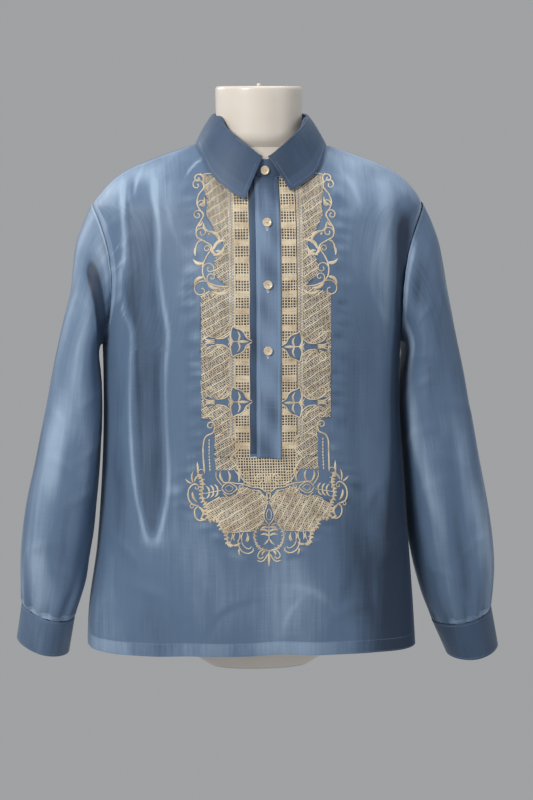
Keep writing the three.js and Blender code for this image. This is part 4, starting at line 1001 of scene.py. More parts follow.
# %% Two sleeves
sleeves = {}
for side, name in SIDES:
    grid = sleeve_grid(side)
    sleeve = Cloth("organza_sleeve_" + name, grid, SHIRT_CLOTH, grid.mean((0, 1)), wrapped=True)
    from_cuff, from_armhole, _ = distances(sleeve.points)
    column = np.arange(SLEEVE_COLUMNS)
    around = np.minimum(column, SLEEVE_COLUMNS - column) * 3.6
    sleeve.masks["band"] = np.maximum(np.maximum(9 - from_cuff, 3.5 - from_armhole), 9 - around) * MM
    sleeve.masks["painted_light_and_shade"] = sleeve_sheen(side, from_cuff, from_armhole, sleeve_angles(sleeve.flipped))
    sleeve.dress("sleeve_" + name, cloth, SHEER_WALL)
    sleeves[side] = sleeve

# %% [markdown]
# ## Cuffs
# A cuff is a straight band of doubled, stiffened cloth. It closes on itself at the back of the wrist, with
# its free end on the outside. Stiffened cloth keeps crisp edges, so it gets a small bevel where it is
# folded.

# %% Cuffs
CUFF_ROUND, CUFF_START, CUFF_LAP = 26, 20, 3
cuffs = {}
for side, name in SIDES:
    share = np.linspace(0, 1, 22)[:, None]
    row = {key: lerp(CUFFS[side][key][0], CUFFS[side][key][1], share) for key in CUFFS[side]}
    k = np.linspace(0, CUFF_ROUND + CUFF_LAP, 132)[None]
    ring = section(row, side, 2 * math.pi * (CUFF_START + k) / CUFF_ROUND, CUFF_SQUARENESS)
    middle = np.stack(np.broadcast_arrays(side * (row["inX"] + row["outX"]) / 2, row["y"],
                                          (row["inZ"] + row["outZ"]) / 2), -1)
    away = unit(ring - middle)
    wave = 0.25 * np.sin(k * 1.9 + side) * np.sin(np.pi * share)
    ring = ring + away * (smooth(k, 22, 25.5) * (CUFF_CLOTH + SEAM_GAP) + wave)[..., None]
    cuff = Cloth("organza_cuff_" + name, ring, CUFF_CLOTH, middle.mean((0, 1)))
    # Painted light and shade: the wearer's right cuff is painted lighter and the left one darker, as the
    # light falls.
    cuff.masks["painted_light_and_shade"] = np.full(ring.shape[:2], 0.16 if side < 0 else -0.3)
    cuff.dress("cuff_" + name, stiffened, 1.7, round_edges=0.5)
    cuffs[side] = cuff

# %% [markdown]
# ## The collar
# The collar has two pieces. The stand closes round the neck, and the leaf is sewn to its top, turns over
# and spreads to two points. On the real shirt one roll joins them, so the leaf's grid starts inside the
# neck and goes over the fold before it comes down. Both are stiffened, and stitched close to the edge.

# %% The stand


def neck_ring(turn, half, front_reach, back_reach):
    angle = np.radians(turn)
    depth = np.where(np.cos(angle) < 0, front_reach, back_reach)
    reach = (np.abs(np.sin(angle) / half) ** 2.1 + np.abs(np.cos(angle) / depth) ** 2.1) ** (-1 / 2.1)
    return np.stack([reach * np.sin(angle), reach * np.cos(angle), 0 * reach], -1)


def from_back(turn):
    """Degrees from the middle of the back, also past 180, where the stand's ends lap at the front."""
    return np.where(np.abs(turn) > 180, 360 - np.abs(turn), np.abs(turn))


def fold_line(turn, tuck=0.0):
    """The line where the leaf turns over, or one that is tucked in behind it."""
    line = neck_ring(turn, *(FOLD_LINE[name] - tuck for name in ("half", "front", "back")))
    line[..., 0] += FOLD_LINE["shift"]
    line[..., 2] = curve(FOLD_HEIGHT["turn"], FOLD_HEIGHT["z"], from_back(turn))
    return line


def stand_point(turn, share):
    inset = COLLAR_CLOTH + 2.1
    low = neck_ring(turn, NECK_HALF - inset, NECK_FRONT - inset, NECK_BACK - inset)
    rim = neck_ring(turn, NECK_HALF, NECK_FRONT, NECK_BACK)
    low[..., 2] = height_at(rim[..., 0], rim[..., 1]) + 1.6
    high = fold_line(turn, 2.3 + 2.4 * smooth(from_back(turn), 140, 168))
    high[..., 2] -= 1.2
    out = unit(high * [1, 1, 0])
    raised = smooth(turn, 146, 170) * (COLLAR_CLOTH + SEAM_GAP)
    return lerp(low, high, np.asarray(share)[..., None]) + out * raised[..., None]


turns, shares = np.meshgrid(np.linspace(-180 - STAND_LAP, 180 + STAND_LAP, 150), np.linspace(0, 1, 14))
stand = Cloth("organza_collar_stand", stand_point(turns, shares), COLLAR_CLOTH, np.array([0, 0, 750]))
stand.dress("collar_stand", stiffened, 1.5, round_edges=0.45)

# %% The leaf
turns, shares = np.meshgrid(np.linspace(-LEAF_END, LEAF_END, 190), np.linspace(0, 1, 26))
away = np.abs(turns)
rounded = np.hypot(turns, 16 * (1 - smooth(away, 0, 60)))


def leaf_edge(axis, at):
    """One coordinate of the leaf's edge, from the table's column for the wearer's right or left."""
    right, left = (curve(LEAF_EDGE["turn"], LEAF_EDGE[side + axis], at) for side in ("right", "left"))
    return np.where(turns < 0, right, left)


edge_x, edge_y = leaf_edge("X", away), leaf_edge("Y", rounded)
edge = np.stack([np.where(turns < 0, -1, 1) * edge_x, edge_y, height_at(edge_x, edge_y)], -1)
off = curve(LEAF_EDGE["turn"], LEAF_EDGE["off"], away) + SHIRT_CLOTH
edge = edge + (unit(edge * [1, 1, 0]) * 0.7 + [0, 0, 0.7]) * off[..., None]
bulge = 1.3 * np.sin(np.pi * shares**0.7)
leaf_grid = lerp(fold_line(turns), edge, shares[..., None])
leaf_grid = leaf_grid + unit(unit(edge * [1, 1, 0]) + [0, 0, 0.5]) * bulge[..., None]
roll = np.radians(np.linspace(165, 20, 6))[:, None, None]
line = fold_line(turns[0])
outwards = unit(line * [1, 1, 0])
rolled = line - outwards * 1.1 + outwards * 1.1 * np.cos(roll) + np.array([0, 0, 1.1]) * np.sin(roll)
leaf_grid = np.concatenate([rolled, leaf_grid])
leaf = Cloth("organza_collar_leaf", leaf_grid, COLLAR_CLOTH, np.array([0, 0, 700]))
# Painted light and shade: the leaf is painted darker from one of its points to the other, with a painted
# highlight along its outer edge.
leaf.masks["painted_light_and_shade"] = lerp(-0.2, -0.4, smooth(turns[0], -60, 60))[None] + np.zeros(leaf_grid.shape[:2])
leaf.masks["painted_light_and_shade"][-8:] += 0.12
leaf.dress("collar_leaf", stiffened, 1.5, round_edges=0.45)

# %% [markdown]
# ## The placket
# The opening runs only halfway down the front. Its button side fills the slit, and its buttonhole side is a
# folded strip that lies on top, closed at its foot by a stitched box.

# %% Placket strips


def strip(name, from_x, to_x, bottom, out, thickness, columns, rows):
    x = np.linspace(from_x, to_x, columns)[None] + np.zeros((rows, 1))
    z = lerp(bottom(x), 706.4 if out else 704.8, np.linspace(0, 1, rows)[:, None])
    ripple = 0.12 * np.sin(z / 9 + x / 5)
    grid, _ = on_front(x, z, out + (ripple if out else 0 * ripple))
    made = Cloth("organza_" + name, grid, thickness, BODY_MIDDLE)
    made.masks["band"] = np.full(grid.shape[:2], MM if out else -MM)
    # Painted light and shade: soft painted highlights of small wrinkles and two lines by the edges, painted
    # shade near the collar on the top strip and over the whole strip beneath.
    wrinkles = 0.12 + 0.2 * np.sin(z / 16) * np.sin(z / 29 + x / 9) + 0.25 * bump(np.abs(x - 2.2), 14, 1.6)
    made.masks["painted_light_and_shade"] = wrinkles - 0.4 * (smooth(z, 640, 690) if out else 1)
    made.dress(name, stiffened, thickness - 0.1, round_edges=0.4)
    return made


under = strip("placket_under", SLOT_LEFT + SEAM_GAP, 12, lambda x: 322.5 + 0 * x, 0, SHIRT_CLOTH, 12, 120)
over = strip("placket_over", -15, 19.5, lambda x: 317 - (x + 15) * 0.09, PLACKET_OUT, PLACKET_CLOTH, 20, 150)

# %% [markdown]
# ## The dress form
# The form is a moulded, painted shell, turned and pressed over a block. A sphere primitive already is a
# stack of rings closed by two poles, so each ring takes the form's width and depth at its own height.

# %% The form
RING_COUNT = 128


def form_size(z, column):
    own = curve(FORM["z"], FORM[column], z)
    if column == "half":
        room = np.minimum(body_side(-1, z + FORM_GAP), body_side(1, z + FORM_GAP))
    else:
        room = body_depth(column == "front", z + FORM_GAP) - FORM_GAP
    return np.where((z > 752) | (z < 560), own, np.minimum(own, room))


lowest, dome = FORM["z"][0], np.radians(np.linspace(15, 90, 6))
heights = np.concatenate([[lowest] * 2, np.linspace(lowest, 820, RING_COUNT - 11), [829.0],
                          NECK_TOP - NECK_EDGE + NECK_EDGE * np.sin(dome), [NECK_TOP]])
shrink = np.concatenate([[0.6, 0.985], np.ones(RING_COUNT - 10),
                         1 - NECK_EDGE * (1 - np.cos(dome)) / FORM["half"][-1], [0.5]])
bpy.ops.object.select_all(action="DESELECT")
bpy.ops.mesh.primitive_uv_sphere_add(segments=96, ring_count=RING_COUNT, radius=1)
form = bpy.context.object
form.name = form.data.name = "painted_form"
ball = coordinates(form)
ring = np.rint((np.arcsin(np.clip(ball[:, 2], -1, 1)) + math.pi / 2) / math.pi * RING_COUNT).astype(int)
z = heights[np.clip(ring - 1, 0, RING_COUNT - 2)]
size = shrink[np.clip(ring - 1, 0, RING_COUNT - 2)] * ((ring > 0) & (ring < RING_COUNT))
angle = np.arctan2(ball[:, 1], ball[:, 0])
depth = np.where(np.sin(angle) < 0, form_size(z, "front"), form_size(z, "back"))
power = lerp(2.3, 2, smooth(z, 735, 765))
reach = np.abs(np.cos(angle) / form_size(z, "half")) ** power + np.abs(np.sin(angle) / depth) ** power
reach = reach ** (-1 / power)
put(form, np.stack([size * reach * np.cos(angle), size * reach * np.sin(angle), z], -1))
smooth_shading(form, 40)
print("form:", triangles(form), "triangles,", round(form.dimensions.z / MM), "mm tall")

# %% [markdown]
# ## More finishes
# The form is painted: a slow unevenness in the paint and a few fine specks show in its gloss. Shell buttons
# are cut from a layered shell, so soft rings of pearl cross them. The threads are plied, and that twist is
# a fine slanting stripe along each thread, in its bumps and as painted highlight and shade in its colour.

# %% The form's paint
paint = Finish("form_paint", {"Specular IOR Level": 0.5, "Coat Roughness": 0.12})
place = paint.object_place()
clouds = paint.noise(place, 7, 3)
specks = paint.noise(place, 900, 2)
paint.set("Base Color", paint.mix((clouds + specks * 0.15).ramp(0.35, 0.85), linear(218, 208, 197),
                                  linear(232, 224, 214)))
paint.set("Roughness", clouds * 0.12 + specks * 0.05 + 0.24)
paint.set("Coat Weight", clouds * 0.2 + 0.25)
paint.bumps((clouds, 0.12, 0.002), (specks, 0.05, 0.00005))
form.data.materials.append(paint.material)
hand_over(form, "dress_form", slot="form_shell")

print("the form is painted")

# %% The neck's pin


def cylinder(name, radius, depth, at=(0, 0, 0), sides=24, turn=(0, 0, 0)):
    bpy.ops.object.select_all(action="DESELECT")
    bpy.ops.mesh.primitive_cylinder_add(vertices=sides, radius=radius * MM, depth=depth * MM,
                                        location=[c * MM for c in at], rotation=turn)
    piece = bpy.context.object
    piece.name = name
    bpy.ops.object.transform_apply(location=True, rotation=True, scale=True)
    return piece


pin = cylinder("form_pin_turned", 2.8, 3.6, (0, 0, NECK_TOP + 0.3 + 1.8 + HEM_LIFT), 40)
modify(pin, "BEVEL", width=0.8 * MM, segments=4)
smooth_shading(pin)
pin.data.materials.append(paint.material)
hand_over(pin, "form_neck_pin", slot="form_shell")

# %% Shell and thread
shell = Finish("river_shell", {"Specular IOR Level": 0.6, "Coat Roughness": 0.08, "Sheen Weight": 0.15})
place = shell.object_place()
rings = {"wave_type": "RINGS", "rings_direction": "SPHERICAL"}
values = {"Vector": place, "Scale": 160, "Distortion": 5, "Detail": 3, "Detail Scale": 1.4}
layers = shell.node("ShaderNodeTexWave", rings, values, output=1)
milky = shell.noise(place, 240, 3)
pearl = shell.mix(milky.ramp(0.3, 0.7), linear(204, 182, 150), linear(240, 226, 200))
shell.set("Base Color", shell.mix(layers * 0.5, pearl, linear(226, 205, 186)))
shell.set("Roughness", milky * 0.15 + 0.16)
shell.set("Coat Weight", milky * 0.3 + 0.4)
shell.bumps((layers, 0.1, 0.00008))


def thread_finish(name, shade, body, light, twist):
    """Plied thread: its UV runs along the thread and across it, in metres."""
    finish = Finish(name, {"Specular IOR Level": 0.5, "Sheen Weight": 0.3, "Sheen Roughness": 0.4,
                           "Sheen Tint": linear(250, 240, 215)})
    uv, along, across = finish.flat_cut()
    ply = ((along + across * 0.8) * (2 * math.pi / twist)).maths("SINE")
    hairs = finish.noise(finish.stretched(uv, (300, 5200, 1)), 1, 2)
    slow_blotches = finish.noise(finish.object_place(), 55, 3)
    # The colour runs between a painted shade and a painted highlight, by the ply's twist, the hairs and slow
    # blotches at random.
    tone = ply * 0.26 + (hairs - 0.5) * 0.9 + (slow_blotches - 0.5) * 1.3
    darker = finish.mix((tone + 0.9).ramp(0, 1), shade, body)
    finish.set("Base Color", finish.mix((tone + 0.5).ramp(0, 1), darker, light))
    finish.set("Roughness", hairs * 0.2 + 0.27)
    finish.bumps((ply * 0.5 + hairs, 0.5, 0.00012))
    return finish.material


silk = thread_finish("gold_thread", linear(132, 110, 84), linear(206, 184, 149), linear(245, 232, 206),
                     0.0007)
blue_thread = thread_finish("blue_thread", linear(62, 84, 116), linear(96, 122, 154),
                            linear(140, 164, 194), 0.0006)
print("shell and two threads")

# %% [markdown]
# ## Thread work: laying one thread
# The front is worked with raised cords in satin stitch, drawn-thread squares (the calado) and a slanting
# net. Each thread is a closed strip with a flat back and a round front, swept along its path on the cloth.
# Blender's curves could be bevelled for this, but a few thousand of them are slow, so one mesh is written
# for each part of the work. A leaf is the same strip with a swelling width and a groove down its middle,
# where the stitches meet.

# %% Sweeping threads


class Threads:
    """Threads that lie on the front, gathered into one mesh."""

    def __init__(self, name):
        self.name, self.laid = name, []

    def lay(self, x, z, width, height, out=1.1, sides=5, groove=0.0):
        if len(x) > 1:
            width = np.broadcast_to(np.asarray(width, float), np.shape(x))
            height = np.broadcast_to(np.asarray(height, float), np.shape(x))
            self.laid.append((np.asarray(x, float), np.asarray(z, float), width, height, out, sides, groove))

    def make(self, finish, surface=on_front):
        """Finds all places on the cloth at once, then sweeps each thread."""
        x, z = (np.concatenate([thread[k] for thread in self.laid]) for k in (0, 1))
        base = np.concatenate([np.full(len(thread[0]), thread[4]) for thread in self.laid])
        points, normals = surface(x, z, base)
        vertices, faces, uvs, first, at = [], [], [], 0, 0
        for x, _, width, height, _, sides, groove in self.laid:
            count = len(x)
            own = slice(at, at + count)
            ring, uv = self.profile(points[own], normals[own], width, height, sides, groove)
            at += count
            vertices.append(ring.reshape(-1, 3))
            uvs.append(uv.reshape(-1, 2))
            i, k = np.meshgrid(np.arange(count - 1), np.arange(sides), indexing="ij")
            after = (k + 1) % sides
            this, following = i * sides, (i + 1) * sides
            quads = np.stack([this + k, this + after, following + after, following + k], -1)
            faces += (quads.reshape(-1, 4) + first).tolist()
            faces.append([first + n for n in reversed(range(sides))])
            faces.append([first + (count - 1) * sides + n for n in range(sides)])
            first += count * sides
        mesh = bpy.data.meshes.new(self.name)
        places = (np.concatenate(vertices) + [0, 0, HEM_LIFT]) * MM
        mesh.from_pydata(places.tolist(), [], faces)
        loops = np.empty(len(mesh.loops), int)
        mesh.loops.foreach_get("vertex_index", loops)
        layer = mesh.uv_layers.new(name="UVMap")
        layer.data.foreach_set("uv", np.concatenate(uvs)[loops].astype(np.float32).ravel())
        mesh.materials.append(finish)
        piece = bpy.data.objects.new(self.name, mesh)
        bpy.context.collection.objects.link(piece)
        smooth_shading(piece, 60)
        print(f"{self.name}: {len(self.laid)} threads, {triangles(piece)} triangles")
        return piece

    @staticmethod
    def profile(points, normals, width, height, sides, groove):
        """A ring at each point: over the thread's round front from one edge to the other."""
        along = unit(np.gradient(points, axis=0) + 1e-12)
        across = unit(np.cross(along, normals))
        turn = np.linspace(0, math.pi, sides)
        rise = np.sin(turn) ** 0.8 * (1 - groove * bump(turn, math.pi / 2, 0.45))
        ring = (points[:, None] - across[:, None] * (np.cos(turn)[:, None] * width[:, None, None] / 2)
                + normals[:, None] * (rise[:, None] * height[:, None, None]))
        side = turn / math.pi * width[:, None]
        return ring, np.stack([gone_along(points)[:, None] + 0 * side, side], -1) * MM


def centre_line(z):
    """The pattern's centre line leans a little in its lower part, as the front hangs."""
    return np.interp(z, [250, 320], [2.5, -1])


def through(knots, step=1.5):
    """A smooth path through a few knots."""
    knots = np.array(knots, float)
    key = np.concatenate([[0], np.hypot(*np.diff(knots, axis=0).T).cumsum()])
    at = np.linspace(0, key[-1], max(4, int(key[-1] / step) + 1))
    return np.stack([curve(key, knots[:, 0], at), curve(key, knots[:, 1], at)], -1)


class Needle:
    """Works one side of the front. s runs outwards from the pattern's centre line, and z is the height."""

    def __init__(self, threads, side):
        self.threads, self.side = threads, side

    def lay(self, path, width=1.7, height=1.0, **more):
        s, z = np.asarray(path, float).T
        self.threads.lay(centre_line(z) + self.side * s, z, width, height, **more)

    def cord(self, *knots, width=1.7, height=1.15):
        path = through(knots)
        ends = np.minimum(1, 0.45 + 0.3 * np.minimum(np.arange(len(path)), np.arange(len(path))[::-1]))
        self.lay(path, width * ends, height * ends)

    def curl(self, s, z, radius, start, way=1, turns=1.15, width=1.6):
        """A scroll that winds inwards from an angle in degrees and ends in a knot."""
        share = np.linspace(0, 1, max(10, int(radius * 5)))
        angle = math.radians(start) + way * turns * 2 * math.pi * share
        reach = radius * (1 - 0.68 * share)
        path = np.stack([s + reach * np.cos(angle), z + reach * np.sin(angle)], -1)
        self.lay(path, width * (1 - 0.25 * share), 0.8)
        self.knot(*path[-1], width * 0.8)

    def scroll(self, stem, s, z, radius, way=1, turns=1.05, width=1.8):
        """A scroll that leaves the nearest point of a stem."""
        off = np.array(stem) - [s, z]
        reach = np.hypot(off[:, 0], off[:, 1])
        near = int(reach.argmin())
        share = np.linspace(0, 1, max(14, int(radius * 6)))
        angle = math.atan2(off[near, 1], off[near, 0]) + way * turns * 2 * math.pi * share
        size = lerp(max(reach[near], radius * 0.8), radius * 0.36, share**0.75)
        path = np.stack([s + size * np.cos(angle), z + size * np.sin(angle)], -1)
        self.lay(path, width * (1 - 0.2 * share), 1.1)
        self.knot(*path[-1], width * 1.15)

    def knot(self, s, z, size=1.5, height=0.9):
        path = [(s, z - size * 0.55), (s, z - size * 0.25), (s, z + size * 0.25), (s, z + size * 0.55)]
        self.lay(path, size * np.array([0.5, 1, 1, 0.5]), height * np.array([0.4, 1, 1, 0.4]))

    def loose_stitch(self, s, z, turn, swing):
        """A short raised stitch across a point, turned by an angle."""
        ds, dz = swing * math.cos(turn), swing * math.sin(turn)
        self.lay([(s - ds, z - dz), (s, z), (s + ds, z + dz)], 1.2, 0.8, sides=4)

    def leaf(self, base, tip, width=4.0, bow=0.15, groove=0.35):
        base, tip = np.array(base, float), np.array(tip, float)
        reach = tip - base
        share = np.linspace(0, 1, 9)[:, None]
        aside = np.array([-reach[1], reach[0]]) * bow * np.sin(np.pi * share)
        swell = np.sin(np.pi * np.linspace(0.06, 0.97, 9) ** 0.85) ** 0.8
        self.lay(base + reach * share + aside, width * swell, 0.45 + 0.8 * swell, sides=7, groove=groove)


print("threads and needle are ready")

# %% [markdown]
# ## Thread work: the net and the drawn squares
# In the calado some of the cloth's own threads are drawn out and the rest are bundled, which leaves small
# square holes. Four rows of holes alternate with a solid row. The net beside it has thick slanting bars,
# thin threads between them, and fine threads across. All of these lines are simple, so they're worked out
# from their pitch and cut off where a motif leaves the ground bare.

# %% The net's bounds
NET_TOP, LOWER_TOP, DRAWN_TOP, DRAWN_FOOT = 709, 285, 706, 317
NET_EDGE = table("z s", [
    (298, 73), (352, 73), (370, 78), (372, 91.5), (547, 91.5), (550, 82), (558, 54), (566, 65), (574, 74),
    (586, 74), (598, 70), (610, 58), (618, 60), (631, 69), (644, 76), (655, 82), (670, 81), (682, 83),
    (696, 85), (712, 86),
])
CARTOUCHE = table("s rise", [(20, 0.5), (22, 2), (28, 6), (31, 12), (36, 16.5), (42, 18.5), (47, 21),
                             (50, 13), (54, 8.5), (60, 5), (71, 4)])
CARTOUCHE_AT = {-1: (480, 395), 1: (472, 393)}
LOWER_NET = np.array([
    (0, 259), (8, 263), (18, 268), (30, 275), (41, 274), (46, 265), (56, 261), (66, 262), (88, 249.5),
    (86, 231), (71, 229), (68, 217), (60, 211), (22, 211), (20, 216), (0, 216),
], float)
SQUARES_IN, SQUARES_OUT = {-1: 23.8, 1: 21.7}, 43.5
PITCH = 3.95


def in_polygon(s, z, corners):
    inside = np.zeros(np.shape(s), bool)
    for (s1, z1), (s2, z2) in zip(corners, np.roll(corners, -1, 0)):
        crosses = (z1 > z) != (z2 > z)
        inside ^= crosses & (s < (s2 - s1) * (z - z1) / np.where(z2 == z1, 1e-9, z2 - z1) + s1)
    return inside


def in_cartouche(side, s, z, margin=0.0):
    bare = np.zeros(np.shape(s), bool)
    for centre in CARTOUCHE_AT[side]:
        rise = np.interp(s, CARTOUCHE["s"], CARTOUCHE["rise"]) + margin
        bare |= (s > 20) & (s < 73) & (np.abs(z - centre) < rise)
        bare |= ((s - 79) / 8) ** 2 + ((z - centre) / 7) ** 2 < 1
    return bare


def in_net(side, s, z):
    inner = np.where(z < 346, 41.5, 51)
    main = (s > inner) & (s < np.interp(z, NET_EDGE["z"], NET_EDGE["s"]))
    main &= (z > NET_EDGE["z"][0]) & (z < NET_TOP)
    drop = (s / 7) ** 2 + ((z - 234.5) / 14) ** 2 < 1
    ring = s**2 + (z - 203.5) ** 2 < 21.5**2
    return (main & ~in_cartouche(side, s, z)) | (in_polygon(s, z, LOWER_NET) & ~drop & ~ring)


def in_squares(side, s, z):
    beside = (s > SQUARES_IN[side] - 0.6) & (s < SQUARES_OUT + 0.8) & (z > 300) & (z < DRAWN_TOP)
    scallop = np.interp(s, [0, 4, 11, 23, 34], [262, 267, 272.6, 274.2, 280])
    foot = (s < 34) & (z > scallop) & (z < DRAWN_FOOT)
    foot |= (s < SQUARES_OUT) & (z > 292) & (z < DRAWN_FOOT)
    return (beside | foot) & ~in_cartouche(side, s, z)


def cut_runs(needle, s, z, inside, width, height, keep=2, **more):
    """Lays only those stretches of a line that lie inside."""
    edges = np.flatnonzero(np.diff(np.concatenate([[0], inside.astype(int), [0]])))
    for start, stop in edges.reshape(-1, 2):
        if stop - start >= keep:
            run = slice(start, stop)
            wide = width[run] if np.ndim(width) else width
            needle.lay(np.stack([s[run], z[run]], -1), wide, height, sides=4, **more)


def net_lines(needle, low, high):
    """Thick bars, thin threads between them and fine threads across, within a range of heights."""
    side, lower = needle.side, high <= LOWER_TOP
    rise = math.radians(60 if side > 0 and lower else 32)
    across = math.radians(96)
    for slope, pitch, width, height in ((rise, 10.4, 2.0, 0.75), (rise, 2.6, 0.85, 0.4),
                                        (rise + across, 2.9, 0.9, 0.45), (across, 5.8, 0.8, 0.4)):
        width *= 1.25 if lower else 1
        way = np.array([math.cos(slope) * side, math.sin(slope)])
        off = np.array([-way[1], way[0]])
        middle = np.array([60.0, (low + high) / 2])
        reach = (high - low) / 2 + 75
        for n in range(-int(reach / pitch), int(reach / pitch) + 1):
            along = np.arange(-reach, reach, 1.7)
            sway = 0.35 * np.sin(along / 3.7 + n * 2.1)
            path = middle + off * (n * pitch + sway)[:, None] + way * along[:, None]
            s, z = path.T
            inside = in_net(side, s, z) & (z >= low) & (z <= high) & (s > 0)
            cut_runs(needle, s, z, inside, width * (1 + 0.12 * np.sin(along / 1.9 + n)), height)


def squares(needle, low, high):
    """The calado: upright and level bundles, with a solid row after every fourth row of holes."""
    side, beside = needle.side, high >= DRAWN_FOOT
    start = SQUARES_IN[side] if beside else 0
    for s0 in np.arange(start, SQUARES_OUT + 1, PITCH if beside else PITCH * 0.94):
        z = np.arange(low, high, 2.0)
        s = s0 + 0.22 * np.sin(z / 11 + s0)
        cut_runs(needle, s, z, in_squares(side, s, z), 1.65, 0.55)
    level, row = high, 0
    while level > low:
        s = np.arange(start, SQUARES_OUT + 1.6, 1.9)
        solid_row = row % 5 == 3 and beside
        for part in range(5 if solid_row else 1):
            z = level - part * PITCH / 2 + 0.25 * np.sin(s / 6 + row + part)
            cut_runs(needle, s, z, in_squares(side, s, z), 2.1 if solid_row else 1.55, 0.62, out=1.12)
        step = 3 if solid_row else 1
        level -= PITCH * step
        row += 2 if solid_row else 1


print("the drawn squares are", PITCH, "mm apart")

# %% [markdown]
# ## Thread work: vines, cartouches and the lower piece
# The motifs are those of the traditional shirt front: a vine with leaves and scrolls along the top, two
# cartouches with a small plant in each, and a wide lower piece with a heart-shaped border, two eyes, sprays
# and a hanging palm. They are drawn once and worked twice, because the second side mirrors the first. Each
# is a short list of knots in millimetres.

# %% Motifs of the bands


def vine(needle):
    stem = through([(88, 711), (84.3, 706), (84.8, 699), (84.3, 692), (91.5, 682.5), (94.3, 671.4),
                    (91.5, 663.4), (85.9, 655.4), (89.9, 646.7), (95.9, 636.3), (95.2, 625.2),
                    (85.9, 619.6), (75.4, 611.6), (82.7, 598.1), (87.5, 586.9), (87.8, 574.1),
                    (82.7, 564.6), (69.7, 558.2), (53.6, 556.6)])
    needle.lay(stem, 2.1, 1.15)
    needle.cord((86, 709), (78, 711), (66, 710.5), (58, 707), width=1.9)
    for row in ((91.4, 704, 3.4, -1), (93.6, 695.5, 5, -1), (87.4, 670, 5, 1), (93.9, 655, 5.4, -1),
                (88.2, 631, 6, 1), (81.8, 609, 6.4, -1), (78.6, 581.5, 6.6, 1), (90.2, 552, 6.6, -1),
                (75.5, 569.5, 4.2, 1)):
        needle.scroll(stem, *row)
    for row in (((86, 644), (76, 632), 3.8, 0.25), ((78, 633), (64, 616), 5, -0.22),
                ((73, 600), (57.6, 613.5), 4.4, 0.2), ((73, 608), (55, 621), 4.8, -0.2),
                ((86.7, 589.3), (101.2, 594.5), 4.8, -0.2), ((87.5, 570), (100, 558.5), 4.8, 0.2),
                ((82, 564.5), (64, 555), 5, 0.22), ((73, 549.5), (51.2, 552.6), 4.4, 0.2),
                ((92, 668), (84, 680), 3.4, 0.25), ((95, 640), (87, 647), 3, 0.2),
                ((75, 612), (66, 600), 4, 0.24), ((70, 606), (58, 598), 3.6, -0.2)):
        needle.leaf(*row)
    needle.cord((88, 620.5), (93.5, 618.5), (97.2, 611), (97.6, 603.5), width=2.2)
    needle.leaf((96.4, 612), (98, 599), 3.6, 0.1)
    for s, z in ((78.5, 629), (73.8, 545.5), (66, 606)):
        needle.knot(s, z, 3.2, 1.1)


def cartouche(needle, centre):
    for way in (-1, 1):
        outline = [(s, centre + way * rise) for s, rise in zip(*CARTOUCHE.values())]
        needle.cord(*outline, width=1.9)
        needle.leaf((46, centre), (48.5, centre + way * 14), 2.9, -0.22 * way)
        needle.leaf((40, centre), (40.5, centre + way * 15), 2.9, 0.2 * way)
        needle.leaf((46, centre + way), (54, centre + way * 6), 2.2, -0.2 * way)
        needle.leaf((72, centre + way * 3), (88, centre + way * 5.5), 2.7, -0.15 * way)
        needle.cord((73.5, centre + way * 5), (80, centre + way * 8), (84.5, centre + way * 14),
                    (82.5, centre + way * 20), (77, centre + way * 21), width=1.6)
        needle.curl(78, centre + way * 17, 4, 60 * way, way, 0.9, 1.4)
        needle.cord((72, centre + way * 5), (66, centre + way * 8), (60, centre + way * 13),
                    (55, centre + way * 21), (50, centre + way * 23), width=1.5)
    needle.leaf((39, centre), (25, centre), 4.2, 0)
    needle.leaf((72, centre), (87, centre), 3.2, 0)
    needle.cord((53, centre), (46, centre), (38, centre), width=1.4)


print("the vine and the cartouche are drawn")

# %% Motifs of the lower piece


def cords_above(needle):
    needle.curl(78.2, 361.5, 6, 190, -1, 1.1, 1.9)
    needle.cord((72.3, 360), (74.6, 352), (84.3, 346.4), (87.8, 338.3), (88.6, 322), (88.1, 294), width=2.3)
    for z in np.arange(299, 342, 4.6):
        needle.leaf((80.2, z + 2.1), (80.2, z - 2.3), 2.1, 0, 0)
    needle.curl(45, 342, 5.5, 190, -1, 1.1, 1.7)
    needle.cord((39.6, 341), (36.7, 333.4), (41.5, 325.3), (50.4, 316.2), (46.3, 309.8), (41.5, 302.4),
                (37.5, 294.6), (33, 289.4), width=1.8)
    needle.leaf((60, 349), (72, 345), 3.2, 0.1)


def heart(needle):
    needle.curl(29.4, 293, 4.4, 300, 1, 1.1)
    needle.cord((38.6, 301), (38.6, 293), (34, 284), (26, 279), (15.7, 277.3), (9, 281.5), (7.4, 288),
                (10.5, 292.5), (15.5, 291), width=1.8)
    needle.curl(13.8, 286.4, 4.4, 100, -1, 1)
    needle.leaf((4.8, 281), (5.6, 295), 2.6, 0.1)
    needle.leaf((2, 279), (1.2, 291), 2.2, 0)
    needle.cord((63.5, 281), (52, 281), (44, 279.5), (35.5, 278.9), (23.3, 274.2), (11.1, 272.6),
                (3, 266.4), width=1.8)
    needle.cord((24, 270.5), (15, 268.5), (8.5, 262), (5.5, 256), width=1.5)
    needle.curl(14, 264.3, 5.2, 60, 1, 1.1)
    needle.curl(38.6, 275, 4, 90, 1, 1.1)
    eye = [(65.5, 272.6), (61, 278.5), (55, 280.5), (48.5, 277.5), (44, 273), (48.5, 267.6), (55, 264.6),
           (61, 266.5), (65.5, 272.6)]
    needle.cord(*eye, width=1.8)
    needle.cord(*[(55 + (s - 55) * 0.55, 272.6 + (z - 272.6) * 0.55) for s, z in eye], width=1.2)
    needle.cord((44, 273), (40, 267), (33, 264.5), (27, 267.5), (24, 272.5), width=1.6)
    needle.cord((64, 266), (56, 259.5), (46, 257), width=1.5)
    needle.leaf((62, 281.5), (66, 297), 3.2, -0.15)
    needle.leaf((55, 281.5), (55.5, 298), 3.2, 0.15)
    needle.leaf((41, 282), (46, 298), 3.2, 0.2)
    needle.cord((72, 297), (72, 288), (68, 281), (64, 276), width=1.5)


